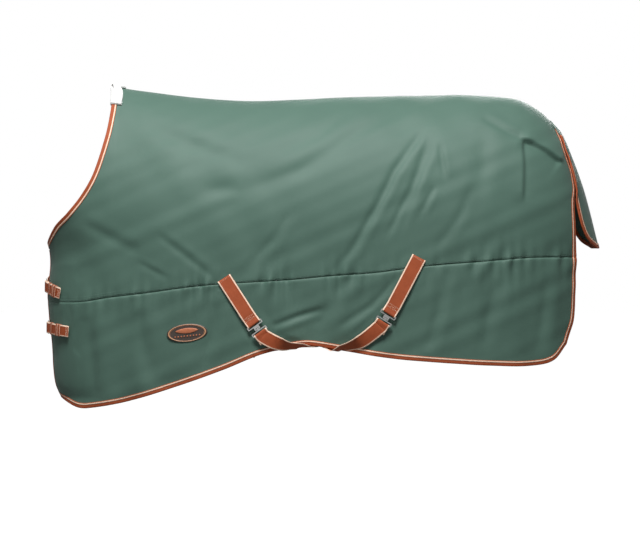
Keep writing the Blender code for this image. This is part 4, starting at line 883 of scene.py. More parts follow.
for side in (near, off):
    frontTop = rowAtDrop(side, 0, 0.020)
    rearTop = rowAtDrop(side, lastColumn, 0.020)
    neckCells = [(r, 0) for r in range(frontTop - 1, 0, -1)] + [(0, c) for c in range(frontCount - 1)]
    neckInside = [(r, 8) for r in range(frontTop - 1, 0, -1)]
    neckInside += [(8, max(c, 6)) for c in range(frontCount - 1)]
    edgeCells = [(r, 0) for r in range(frontTop + 1, lastRow)] + [(lastRow, c) for c in range(lastColumn)]
    edgeCells += [(r, lastColumn) for r in range(lastRow, rearTop, -1)]
    edgeInside = [(min(r, lastRow - 8), 8) for r in range(frontTop + 1, lastRow)]
    edgeInside += [(lastRow - 8, min(max(c, 8), lastColumn - 8)) for c in range(lastColumn)]
    edgeInside += [(min(r, lastRow - 8), lastColumn - 8) for r in range(lastRow, rearTop, -1)]
    for word, cellsList, insideList in (("neckBinding", neckCells, neckInside),
                                        ("edgeBinding", edgeCells, edgeInside)):
        places, facing = gridEdge(side, cellsList)
        inside, _ = gridEdge(side, insideList)
        made = bindEdge(word + pieceWords[side], places, facing, inside, onCloth, bindingUnder,
                        bindingShape["over"])
        bindings[(word, side)] = made
        _, edges, outward = made
        line = []
        for edge, out in zip(edges, outward):
            spot, up = onCloth(edge - out * bindingShape["stitchIn"])
            line.append((spot + up * (bindingShape["over"] + layers["binding"] + 0.0003), up))
        bindingStitches += stitchRun(line)
print("bindings ready")


# side seam
seamStitching = {"rows": (0.0035, 0.0095), "chestRow": 0.018}
seamStitches = []
for side in (near, off):
    for above in seamStitching["rows"]:
        line = []
        for x in np.linspace(-0.94, 0.87, 520):
            z = float(curveAt(pattern["sideSeam"], x)) + above
            spot, up = onCloth(sidePoint(side, x, z, 0.004))
            line.append((spot + up * 0.0001, up))
        seamStitches += stitchRun(line)
    line = []
    for x in np.linspace(-0.94, -0.70, 70):
        z = float(curveAt(pattern["sideSeam"], x)) + seamStitching["chestRow"]
        spot, up = onCloth(sidePoint(side, x, z, 0.004))
        line.append((spot + up * 0.0001, up))
    seamStitches += stitchRun(line)
sideSeamThread = stitchMesh("sideSeamThread", seamStitches, greenThread)
bindingThread = stitchMesh("bindingThread", bindingStitches, copperThread)
print("stitching ready", len(seamStitches) + len(bindingStitches))


# straps
strapShape = {"width": 0.050, "chestWidth": 0.038, "stripe": 0.0042, "loopClear": 0.0006, "clipBar": 0.0035,
              "clipReach": 0.019, "return": 0.035, "fit": 0.0003, "sewClear": 0.0038, "clipStand": 0.011,
              "hemClear": 0.007}
surcingleLines = {
    "front": {
        "top": (-0.322, -0.645), "sewn": (-0.325, -0.626), "clip": (-0.212, -0.795),
        "farTop": (0.334, -0.590),
        "lower": [((-0.160, -0.839), 0.0130, (0.50, -0.18, 0.83)),
                  ((-0.130, -0.849), 0.0160, (0.28, -0.50, 0.80)),
                  ((-0.100, -0.8535), 0.0210, (0.12, -0.84, 0.50)),
                  ((-0.070, -0.8550), 0.0220, (0.05, -0.91, 0.40))],
        "hem": [(-0.044, 0.004, (0.15, -0.98, 0.05))],
        "dip": (-0.020, 0.050, 0.0035, (0.80, -0.60, 0.0)),
        "cross": (-0.006, 0.014), "farHem": 0.262,
    },
    "rear": {
        "top": (0.334, -0.585), "sewn": (0.334, -0.556), "clip": (0.222, -0.760), "farTop": (-0.322, -0.670),
        "lower": [((0.172, -0.815), 0.013, (-0.70, -0.20, 0.66)),
                  ((0.140, -0.838), 0.016, (-0.50, -0.36, 0.78)),
                  ((0.108, -0.851), 0.020, (-0.26, -0.72, 0.62)),
                  ((0.076, -0.860), 0.022, (-0.12, -0.90, 0.42))],
        "hem": [(0.046, 0.004, (-0.15, -0.98, 0.05))],
        "dip": (0.012, 0.050, -0.004, (-0.80, -0.60, 0.0)),
        "cross": (-0.004, 0.004), "farHem": -0.262,
    },
}


def through(points, perSpan):
    padded = [points[0] * 2 - points[1]] + list(points) + [points[-1] * 2 - points[-2]]
    found = []
    for p0, p1, p2, p3 in zip(padded, padded[1:], padded[2:], padded[3:]):
        for step in range(perSpan):
            t = step / perSpan
            found.append(0.5 * (2 * p1 + (p2 - p0) * t + (2 * p0 - 5 * p1 + 4 * p2 - p3) * t * t
                                + (3 * p1 - p0 - 3 * p2 + p3) * t**3))
    return found + [points[-1].copy()]


def framesAlong(centres, acrossList):
    frames = []
    for index, centre in enumerate(centres):
        tangent = centres[min(index + 1, len(centres) - 1)] - centres[max(index - 1, 0)]
        tangent.normalize()
        across = acrossList[index] - tangent * acrossList[index].dot(tangent)
        across.normalize()
        frames.append((centre, across, tangent.cross(across)))
    return frames


def strapMesh(name, frames, width, thickness=None, stripe=None):
    # webbing with rounded selvedges and a pale stripe along each edge
    thickness = thickness or layers["webbing"]
    stripe = strapShape["stripe"] if stripe is None else stripe
    half = width / 2
    line = [(-half, 0.15), (-half + 0.0005, 0.85), (-half + stripe, 1.0), (-half + stripe + 0.0003, 0.93),
            (-half * 0.5, 1.0), (0.0, 1.0), (half * 0.5, 1.0), (half - stripe - 0.0003, 0.93),
            (half - stripe, 1.0), (half - 0.0005, 0.85), (half, 0.15)]
    ringShape = [(a, h) for a, h in line] + [(a, -h) for a, h in reversed(line)]
    picks = []
    for (a, _), (b, _) in zip(ringShape, ringShape[1:] + ringShape[:1]):
        picks.append(1 if abs(a + b) / 2 > half - stripe - 0.0002 and stripe > 0 else 0)
    loops, sewn, run = [], [], 0.0
    for i, (centre, across, normal) in enumerate(frames):
        if i:
            run += (centre - frames[i - 1][0]).length
        loops.append([centre + across * a + normal * (h * thickness / 2) for a, h in ringShape])
        sewn += [(run, a) for a, _ in ringShape]
    return faceOutward(sweepLoops(name, loops, [copperStrap, creamStripe], picks, True, True, sewn))


def clipFrame(data):
    top = sidePoint(near, *data["top"], strapShape["clipStand"])
    origin = sidePoint(near, *data["clip"], strapShape["clipStand"])
    along = (origin - top).normalized()
    outward = Vector((0, -1, 0))
    normal = (outward - along * outward.dot(along)).normalized()
    return origin, along, normal.cross(along), normal


def loopLayers(outer, gap):
    reach = [0.030, 0.026, 0.022, 0.018, 0.014, 0.010, 0.007, 0.004, 0.002]
    coming = [(d, outer * (1 - float(smoothStep(d / 0.020)))) for d in reach]
    closed = -(layers["webbing"] + gap)
    returning = [(d, -outer + (outer + closed) * float(smoothStep(d / 0.020))) for d in reversed(reach)]
    return coming, returning + [(strapShape["return"], closed)]


def barLoop(bar, away, across, outer, backFrames, frontSide):
    frames = []
    coming, returning = backFrames
    for distance, height in coming:
        frames.append((bar - away * distance + frontSide * height, across, frontSide))
    for step in range(1, 14):
        angle = math.pi * step / 14
        spoke = frontSide * math.cos(angle) + away * math.sin(angle)
        frames.append((bar + spoke * outer, across, spoke))
    for distance, height in returning:
        frames.append((bar - away * distance + frontSide * height, across, -frontSide))
    return frames


def upperStrap(name, data):
    origin, along, across, normal = clipFrame(data)
    outer = strapShape["clipBar"] / 2 + strapShape["loopClear"] + layers["webbing"] / 2
    bar = origin - along * strapShape["clipReach"]
    loop = barLoop(bar, along, across, outer, loopLayers(outer, strapShape["fit"]), normal)
    sewClear, clipStand = strapShape["sewClear"], strapShape["clipStand"]
    start = sidePoint(near, *data["sewn"], sewClear)
    first = loop[0][0]
    run, count = [], 26
    for step in range(count):
        share = step / count
        point = start.lerp(first, share)
        limit = -(float(halfWidth(point.x, point.z)) + sewClear + (clipStand - sewClear) * share)
        point.y = min(point.y, limit)
        run.append(point)
    frames = framesAlong(run + [first], [across] * (count + 1))[:-1] + loop
    return strapMesh(name, frames, strapShape["width"]), (start, along, across, normal)


def hemPoint(side, x, inset, drop):
    z = float(curveAt(pattern["hem"], x))
    return Vector((x, side * (float(halfWidth(x, z)) - inset), z - drop))


def lowerStrap(name, data):
    origin, along, across, normal = clipFrame(data)
    outer = strapShape["clipBar"] / 2 + strapShape["loopClear"] + layers["webbing"] / 2
    bar = origin + along * strapShape["clipReach"]
    loop = barLoop(bar, -along, across, outer, loopLayers(outer, strapShape["fit"]), normal)
    loop.reverse()
    loop = loop[:-4]
    clear = strapShape["hemClear"]
    route = [(sidePoint(near, *at, out), Vector(side)) for at, out, side in data["lower"]]
    for x, inset, side in data["hem"]:
        route.append((hemPoint(near, x, inset, clear), Vector(side)))
    x, inset, drop, side = data["dip"]
    route.append((hemPoint(near, x, inset, drop), Vector(side)))
    flat = Vector(side)
    crossX, lift = data["cross"]
    low = float(curveAt(pattern["hem"], 0.0))
    nearPoint = Vector((crossX, -0.52 * pattern["halfWidth"], low + lift))
    farPoint = hemPoint(off, data["farHem"] * 0.93, 0.035, clear)
    for share in (0.0, 0.25, 0.5, 0.75, 1.0):
        route.append((nearPoint.lerp(farPoint, share), flat))
    sideways = Vector((1 if flat.x > 0 else -1, 0, 0))
    route.append((hemPoint(off, data["farHem"], 0.001, clear + 0.005), sideways))
    route.append((hemPoint(off, data["farHem"] * 1.02, -0.010, -0.010), sideways))
    top = sidePoint(off, *data["farTop"], strapShape["sewClear"])
    lowSide = hemPoint(off, data["farHem"] * 1.04, -0.008, -0.050)
    for share in (0.0, 0.33, 0.67, 1.0):
        point = lowSide.lerp(top, share)
        point.y = float(halfWidth(point.x, point.z)) + 0.009 - (0.009 - strapShape["sewClear"]) * share
        route.append((point, sideways))
    head = [loop[-1][0]] + [point for point, _ in route]
    facing = across if across.z > 0 else -across
    sides = [facing] + [side for _, side in route]
    centres = through(head, 12)
    tail = framesAlong(centres, through(sides, 12))
    flip = -1 if tail[0][1].dot(across) < 0 else 1
    tail = [(centre, side * flip, up) for centre, side, up in tail]
    return strapMesh(name, loop + tail[1:], strapShape["width"]), (origin, along, across, normal)


def boxStitches(corner, alongDir, acrossDir, up, length, width):
    # square of stitches with its two diagonals, sewn through a strap end
    a, b = alongDir * length, acrossDir * width / 2
    spots = [corner - b, corner + b, corner + a + b, corner + a - b, corner - b, corner + a + b]
    lines = [spots[:5], [corner - b, corner + a + b], [corner + b, corner + a - b]]
    found = []
    for line in lines:
        for p, q in zip(line, line[1:]):
            count = max(2, int((q - p).length / 0.004))
            found += stitchRun([(p.lerp(q, i / count), up) for i in range(count + 1)])
    return found


strapPieces = {}
strapStitches = []
for word, data in surcingleLines.items():
    upper, (start, along, across, normal) = upperStrap("surcingleUpper" + word.title(), data)
    lower, (origin, _, _, _) = lowerStrap("surcingleLower" + word.title(), data)
    strapPieces["surcingle_upper_" + word] = upper
    strapPieces["surcingle_lower_" + word] = lower
    top = start + normal * (layers["webbing"] / 2 + 0.0002) + along * 0.006
    strapStitches += boxStitches(top, along, across, normal, 0.038, 0.040)
    bar = origin - along * (strapShape["clipReach"] + 0.030)
    strapStitches += boxStitches(bar + normal * (layers["webbing"] / 2 + 0.0002), along, across, normal,
                                 0.012, 0.040)
print("surcingles ready")


# chest fastenings
chestShape = {"upper": (-0.655, 0.22), "lower": (-0.800, 0.08), "buckleAt": -0.030, "stand": 0.0085,
              "chape": {"upper": 0.102, "lower": 0.132}, "chapeReturn": 0.024,
              "tail": {"upper": 0.110, "lower": 0.142}, "farSew": 0.105, "keeperAt": -0.041,
              "bandAt": {"upper": -0.066, "lower": -0.082}, "bandGap": 0.015,
              "keeperWidth": 0.012, "keeperWall": 0.0012, "wire": 0.0016, "reach": 0.024}


def chestPoint(y, z):
    low, high = float(curveAt(pattern["chestLine"], z)), pattern["chestCentre"]
    for _ in range(30):
        middle = (low + high) / 2
        if float(halfWidth(middle, z)) < abs(y):
            low = middle
        else:
            high = middle
    return Vector((low, y, z))


def chestRoute(height, tilt):
    samples = [chestPoint(-0.20 + 0.003 * i, height) for i in range(int(0.40 / 0.003))]
    lengths = [0.0]
    for a, b in zip(samples, samples[1:]):
        lengths.append(lengths[-1] + (b - a).length)
    zero = next(i for i, point in enumerate(samples) if point.y >= chestShape["buckleAt"])
    where = np.array([list(p) for p in samples])
    lengths = np.array(lengths)

    def smoothPoint(at):
        share = np.maximum(0.0, 1 - np.abs(lengths - at - lengths[zero]) / 0.012)
        return Vector((where * share[:, None]).sum(0) / share.sum())

    def route(at, out=0.0):
        point = smoothPoint(at)
        along = (smoothPoint(at + 0.004) - smoothPoint(at - 0.004)).normalized()
        normal = Vector((0, 0, 1)).cross(along)
        if normal.x > 0:
            normal.negate()
        along = (along + Vector((0, 0, tilt))).normalized()
        point.z += tilt * at
        return point + normal * out, along, normal

    return route


def refined(stations, step=0.0022):
    found = []
    for (a, h), (b, k) in zip(stations, stations[1:]):
        count = max(1, int(abs(b - a) / step))
        for i in range(count):
            share = i / count
            found.append((a + (b - a) * share, h + (k - h) * float(smoothStep(share))))
    return found + [stations[-1]]


def chestFastening(word):
    height, tilt = chestShape[word]
    route = chestRoute(height, tilt)
    wire, clear, web, fit = chestShape["wire"], strapShape["loopClear"], layers["webbing"], strapShape["fit"]
    stand, halfU = chestShape["stand"], chestShape["reach"] / 2
    origin, along, normal = route(0.0, stand)
    across = normal.cross(along)
    heel = origin - along * halfU
    outer = wire + clear + web / 2
    low = stand - outer
    rest = layers["gap"] + layers["binding"] + fit + web
    sewnStart = -halfU - chestShape["chape"][word]
    frames, base = [], []
    sewnEnd = -halfU - 0.004
    for i in range(21):
        share = i / 20
        base.append((sewnStart + (sewnEnd - sewnStart) * share,
                     rest + (low - rest) * float(smoothStep(share))))
    for at, out in base:
        centre, here, up = route(at, out)
        frames.append((centre, up.cross(here), up))
    for step in range(0, 15):
        angle = math.pi * step / 14
        spoke = -normal * math.cos(angle) + along * math.sin(angle)
        frames.append((heel + spoke * outer, across, -spoke))
    for step in range(1, 9):
        at = -halfU - chestShape["chapeReturn"] * step / 8
        share = float(smoothStep(step / 8))
        under = rest + (low - rest) * float(smoothStep((at - sewnStart) / (sewnEnd - sewnStart)))
        closed = under + web + fit
        out = stand + outer + (closed - stand - outer) * share
        centre, here, up = route(at, out)
        frames.append((centre, up.cross(here), -up))
    chape = strapMesh("chestChape" + word.title(), frames, strapShape["chestWidth"], stripe=0.0034)
    over = stand + outer + web + fit + 0.0010
    underBar = stand - wire - clear - web / 2
    tail = -halfU - chestShape["tail"][word]
    stack = rest + 2 * (web + 2 * fit)
    stations = [(tail, stack), (-halfU - 0.036, stack), (-halfU - 0.027, stack + 0.0012),
                (-halfU - 0.015, over - 0.0012), (-halfU - 0.006, over), (-halfU + 0.002, over),
                (-halfU + 0.009, over - 0.0030), (0.004, underBar + 0.0016), (halfU - 0.003, underBar),
                (halfU + 0.004, underBar), (halfU + 0.014, underBar + 0.0004),
                (halfU + chestShape["farSew"], underBar + 0.0004)]
    centres, ups = [], []
    for at, out in refined(stations):
        centre, here, up = route(at, out)
        centres.append(centre)
        ups.append(up.cross(here))
    billet = strapMesh("chestBillet" + word.title(), framesAlong(centres, ups), strapShape["chestWidth"],
                       stripe=0.0034)
    wide = strapShape["chestWidth"] / 2 + clear + 0.0002
    tall = (3 * web + 9 * fit) / 2

    def bandOver(name, at):
        centre, here, up = route(-halfU + at, rest + web + 2 * fit)
        return keeperBand(name, centre + up * 0.0002, here, up.cross(here), up, wide, tall)

    keeper = bandOver("chestKeeper" + word.title(), chestShape["keeperAt"])
    for count in range(2):
        band = bandOver("chestBand" + word.title() + "AB"[count],
                        chestShape["bandAt"][word] - chestShape["bandGap"] * count)
        band.parent = chape
    endUp = route(tail, stack)[2]
    corner = route(tail + 0.004, stack + web / 2 + 0.0002)
    thread = boxStitches(corner[0], corner[1], endUp.cross(corner[1]), endUp, 0.008, 0.030)
    return chape, billet, keeper, thread


def keeperBand(name, centre, here, side, up, wide, tall):
    # webbing band round the strap layers, with a pale stripe at each edge
    wall = chestShape["keeperWall"]
    corners, radius = [], 0.0014
    for cornerIndex, (su, sv) in enumerate(((1, 1), (-1, 1), (-1, -1), (1, -1))):
        for step in range(5):
            angle = math.pi / 2 * (cornerIndex + step / 4)
            corners.append((su * (wide - radius), sv * (tall - radius), math.cos(angle), math.sin(angle)))
    half = chestShape["keeperWidth"] / 2
    line = [(-half, 0.2), (-half + 0.0003, 0.9), (-half * 0.70, 1.0), (0.0, 1.0), (half * 0.70, 1.0),
            (half - 0.0003, 0.9), (half, 0.2), (half, 0.0), (0.0, 0.0), (-half, 0.0)]
    picks = [0, 1, 0, 0, 1, 0, 0, 0, 0, 0]
    loops, sewn = [], []
    for i, (u, v, cu, cv) in enumerate(corners + corners[:1]):
        ring = []
        for run, share in line:
            reach = radius + wall * share
            ring.append(centre + side * (u + cu * reach) + up * (v + cv * reach) + here * run)
            sewn.append((i * 0.004, run))
        loops.append(ring)
    return faceOutward(sweepLoops(name, loops, [copperStrap, creamStripe], picks, True, False, sewn))


for word in ("upper", "lower"):
    chape, billet, keeper, sewn = chestFastening(word)
    strapPieces["chest_chape_" + word] = chape
    strapPieces["chest_billet_" + word] = billet
    strapPieces["chest_keeper_" + word] = keeper
    strapStitches += sewn
print("chest fastenings ready")


# leg ring tabs
ringTab = {"at": (0.825, -0.640), "width": 0.030, "length": 0.045, "clear": 0.0085, "seat": -0.0020,
           "wire": 0.0035}


def ringTabStrap(side):
    inside = layers["shell"] + layers["gap"] + layers["lining"]
    x, z = ringTab["at"]
    out = -(inside + ringTab["clear"])
    at, ahead = sidePoint(side, x, z, out), sidePoint(side, x - 0.03, z, out)
    above = sidePoint(side, x, z + 0.03, out)
    rear = (at - ahead).normalized()
    up = (above - at).normalized()
    normal = rear.cross(up) * side
    if normal.y * side > 0:
        normal.negate()
    rear = up.cross(normal).normalized()
    if rear.x < 0:
        rear.negate()
    normal.normalize()
    web, fit = layers["webbing"], strapShape["fit"]
    outer = ringTab["wire"] * 0.71 + strapShape["loopClear"] + web / 2
    stand = outer + web / 2 + 0.0015
    bar = at + normal * stand
    length, seat = ringTab["length"], ringTab["seat"]
    frames = []
    for step in range(16):
        share = 1 - step / 15
        height = -outer + (outer - stand + web / 2 + seat) * float(smoothStep(share))
        frames.append((bar + up * length * share + normal * height, rear, normal))
    for step in range(1, 14):
        angle = math.pi * step / 14
        spoke = -normal * math.cos(angle) - up * math.sin(angle)
        frames.append((bar + spoke * outer, rear, -spoke))
    for step in range(1, 13):
        share = 0.8 * step / 12
        base = -outer + (outer - stand + web / 2 + seat) * float(smoothStep(share))
        closed = base + web + 2 * fit
        height = outer + (closed - outer) * float(smoothStep(min(1.0, share * 1.6)))
        frames.append((bar + up * length * share + normal * height, rear, -normal))
    return strapMesh("ringTab" + pieceWords[side], frames, ringTab["width"], stripe=0.0)


for side in (near, off):
    strapPieces["ring_tab_" + nodeWords[side]] = ringTabStrap(side)


# tail flap
flapShape = {
    "line": [(-0.525, 0.973), (-0.336, 0.924), (-0.217, 0.882), (-0.1225, 0.842), (-0.080, 0.806)],
    "top": -0.080, "sag": 0.054, "sagHalf": 0.160, "overlap": 0.002,
    "widths": [(0.0, 0.075), (0.15, 0.100), (0.4, 0.140), (0.7, 0.160), (0.86, 0.158), (0.95, 0.135),
               (1.0, 0.085)],
    "thickness": 0.0020, "clear": 0.0010, "edgeClear": 0.0035, "droop": 0.020, "rows": 84, "columns": 72,
    "wave": 0.0018,
}


def rumpX(y, z):
    low = np.full(np.shape(y), 0.5)
    high = np.full(np.shape(y), pattern["rumpReach"])
    for _ in range(36):
        middle = (low + high) / 2
        inside = halfWidth(middle, z) > np.abs(y)
        low = np.where(inside, middle, low)
        high = np.where(inside, high, middle)
    return low


def flapSurface():
    rows = np.linspace(0, 1, flapShape["rows"])[:, None]
    columns = np.linspace(-1, 1, flapShape["columns"])[None, :]
    length = flapShape["top"] - flapShape["line"][0][0]
    y = columns * curveAt(flapShape["widths"], rows)
    droop = flapShape["droop"] * (1 - rows) ** 2 * columns**2
    z = flapShape["top"] - rows * length - droop
    x = curveAt(flapShape["line"], z + droop) - flapShape["sag"] * (y / flapShape["sagHalf"]) ** 2
    clear = flapShape["clear"] + flapShape["edgeClear"] * np.minimum(1.0, rows * 10)
    under = np.minimum(rumpX(y, z), curveAt(pattern["rearEdge"], z) + flapShape["overlap"])
    x = np.maximum(x, under + clear)
    soft = smoothStep(rows / 0.4)
    x = x + flapShape["wave"] * soft * (ripple(y + 0.2 * z, 71, 3, 0.08, 0.16) * 0.5 + 0.5)
    return np.stack([x, y, z], -1)


flapPlace = flapSurface()
flapFacing = np.cross(np.gradient(flapPlace, axis=1), np.gradient(flapPlace, axis=0))
flapFacing *= np.sign(flapFacing[..., :1].mean())
flapFacing /= np.linalg.norm(flapFacing, axis=-1, keepdims=True)
flapRows, flapColumns = flapPlace.shape[:2]
flapPoints = (flapPlace + flapFacing * flapShape["thickness"]).reshape(-1, 3)
flapFaces = []
for r in range(flapRows - 1):
    for c in range(flapColumns - 1):
        flapFaces.append([r * flapColumns + c, (r + 1) * flapColumns + c, (r + 1) * flapColumns + c + 1,
                          r * flapColumns + c + 1])
flapMap = [(c * 0.004, r * 0.0053) for r in range(flapRows) for c in range(flapColumns)]
tailFlap = makeMesh("tailFlap", flapPoints, flapFaces, [greenCloth], sewn=flapMap)
if sum(face.normal.x * face.area for face in tailFlap.data.polygons) < 0:
    tailFlap.data.flip_normals()
flapTree = BVHTree.FromPolygons([v.co.copy() for v in tailFlap.data.vertices],
                                [list(face.vertices) for face in tailFlap.data.polygons])
thicken(tailFlap, flapShape["thickness"])


def onFlap(point, out=0.0):
    place, normal, _, _ = flapTree.find_nearest(point)
    return place + normal * out, normal


flapOuter = flapPlace + flapFacing * flapShape["thickness"]
flapStart = 7
flapEdge = [(r, 0) for r in range(flapStart, flapRows)] + [(flapRows - 1, c) for c in range(1, flapColumns)]
flapEdge += [(r, flapColumns - 1) for r in range(flapRows - 2, flapStart - 1, -1)]
flapInside = [(min(r, flapRows - 8), 7) for r in range(flapStart, flapRows)]
flapInside += [(flapRows - 8, min(max(c, 7), flapColumns - 8)) for c in range(1, flapColumns)]
flapInside += [(min(r, flapRows - 8), flapColumns - 8) for r in range(flapRows - 2, flapStart - 1, -1)]
flapBinding, flapEdges, flapOutward = bindEdge(
    "tailFlapBinding", [Vector(flapOuter[k]) for k in flapEdge], [Vector(flapFacing[k]) for k in flapEdge],
    [Vector(flapOuter[k]) for k in flapInside], onFlap, flapShape["thickness"] + layers["gap"],
    layers["gap"])
flapLine = []
for edge, out in zip(flapEdges, flapOutward):
    spot, up = onFlap(edge - out * bindingShape["stitchIn"])
    flapLine.append((spot + up * (layers["gap"] + layers["binding"] + 0.0003), up))
flapThread = stitchMesh("tailFlapThread", stitchRun(flapLine), copperThread)
print("tail flap ready")


# fleece at the withers
fleeceShape = {"half": 0.136, "over": 0.040, "under": 0.038, "thick": 0.0085, "front": 0.0070, "rings": 190,
               "curl": 0.0007, "seed": 5}


def fleecePad():
    # runs over the neckline from the near side to the off side
    places = {side: gridEdge(side, [(0, c) for c in range(frontCount + 1)]) for side in (near, off)}
    line = places[near][0][:-1] + places[off][0][::-1]
    facing = places[near][1][:-1] + places[off][1][::-1]
    insideCells = [(14, c) for c in range(frontCount + 1)]
    inner = gridEdge(near, insideCells)[0][:-1] + gridEdge(off, insideCells)[0][::-1]
    centre = len(places[near][0]) - 1
    lengths = [0.0]
    for a, b in zip(line, line[1:]):
        lengths.append(lengths[-1] + (b - a).length)
    middle = lengths[centre]
    wanted = np.linspace(middle - fleeceShape["half"], middle + fleeceShape["half"], fleeceShape["rings"])
    at = np.array([list(p) for p in line])
    turned = np.array([list(n) for n in facing])
    inners = np.array([list(p) for p in inner])
    spread = np.stack([np.interp(wanted, lengths, at[:, i]) for i in range(3)], -1)
    normals = np.stack([np.interp(wanted, lengths, turned[:, i]) for i in range(3)], -1)
    inners = np.stack([np.interp(wanted, lengths, inners[:, i]) for i in range(3)], -1)
    count = fleeceShape["rings"]
    for _ in range(10):
        spread[1:-1] = (spread[:-2] + spread[1:-1] * 2 + spread[2:]) / 4
        normals[1:-1] = (normals[:-2] + normals[1:-1] * 2 + normals[2:]) / 4
    picker = np.random.default_rng(fleeceShape["seed"])
    loops, sewn = [], []
    over0 = layers["gap"] + layers["binding"] + 0.0006
    under0 = bindingUnder + layers["binding"] + 0.0006
    for i in range(count):
        place = Vector(spread[i])
        normal = Vector(normals[i]).normalized()
        ahead = Vector(spread[min(i + 1, count - 1)] - spread[max(i - 1, 0)]).normalized()
        out = ahead.cross(normal).normalized()
        if out.dot(Vector(inners[i]) - place) > 0:
            out.negate()
        share = abs(2 * i / (count - 1) - 1)
        size = math.sqrt(max(0.0, 1 - max(0.0, (share - 0.93) / 0.07) ** 2)) * 0.97 + 0.03
        thick = fleeceShape["thick"] * size
        over = fleeceShape["over"] - 0.006 * share
        ring = []
        outerLine = [(-over, over0)]
        for t in np.linspace(0, 1, 6)[1:]:
            outerLine.append((-over + 0.004 * t, over0 + thick * math.sin(t * math.pi / 2)))
        for t in np.linspace(0, 1, 12)[1:]:
            outerLine.append((-over + 0.004 + (over - 0.004) * t,
                              over0 + thick * (1 + 0.10 * math.sin(math.pi * t))))
        for t in np.linspace(0, 1, 12)[1:]:
            angle = math.pi * t
            mid = (over0 + thick - under0 - thick) / 2
            reach = (over0 + under0 + 2 * thick) / 2
            outerLine.append((fleeceShape["front"] * math.sin(angle) * (0.4 + 0.6 * size),
                              mid + reach * math.cos(angle)))
        low = fleeceShape["under"]
        for t in np.linspace(0, 1, 10)[1:]:
            outerLine.append((-(low - 0.004) * t, -under0 - thick))
        for t in np.linspace(0, 1, 6)[1:]:
            outerLine.append((-(low - 0.004) - 0.004 * t, -under0 - thick * math.cos(t * math.pi / 2)))
        innerLine = [(-low * (1 - t), -under0) for t in np.linspace(0, 1, 8)[1:]]
        innerLine += [(0.0022 * math.sin(math.pi * t), -under0 + (under0 + over0) * t)
                      for t in np.linspace(0, 1, 6)[1:]]
        innerLine += [(-over * t, over0) for t in np.linspace(0, 1, 8)[1:-1]]
        for reach, height in outerLine + innerLine:
            if reach <= 0:
                spot, up = onCloth(place + out * reach)
                ring.append(spot + up * height)
            else:
                ring.append(place + out * reach + normal * height)
        loops.append(ring)
        sewn += [(i * 0.0015, k * 0.0015) for k in range(len(ring))]
    outerCount = len(outerLine)
    pad = faceOutward(sweepLoops("witherFleece", loops, [whiteFleece], [0] * len(loops[0]), True, True,
                                 sewn))
    mesh = pad.data
    mesh.update()
    ringSize = len(loops[0])
    for index, vertex in enumerate(mesh.vertices):
        if 0 < index % ringSize < outerCount - 1:
            p = vertex.co
            curl = (math.sin(p.x * 620 + 3.1 * math.sin(p.z * 410))
                    * math.sin(p.y * 560 + 2.3 * math.sin(p.x * 380)))
            curl += 0.6 * picker.uniform(-1, 1)
            vertex.co = p + vertex.normal * (fleeceShape["curl"] * curl)
    return pad


witherFleece = fleecePad()
print("fleece ready")


# oval patch
patchShape = {"at": (-0.450, -0.812), "length": 0.140, "height": 0.062, "tilt": 6.0, "around": 96,
              "rings": [(0.0, 0.0016, 1), (0.25, 0.0016, 1), (0.50, 0.0016, 1), (0.70, 0.0016, 1),
                        (0.83, 0.0016, 1),
                        (0.85, 0.0017, 1), (0.870, 0.0020, 1), (0.880, 0.0024, 2), (0.895, 0.0026, 2),
                        (0.915, 0.0026, 2), (0.930, 0.0022, 2), (0.940, 0.0019, 1), (0.985, 0.0017, 1),
                        (1.0, 0.0010, 1), (1.0, 0.0, 1)]}


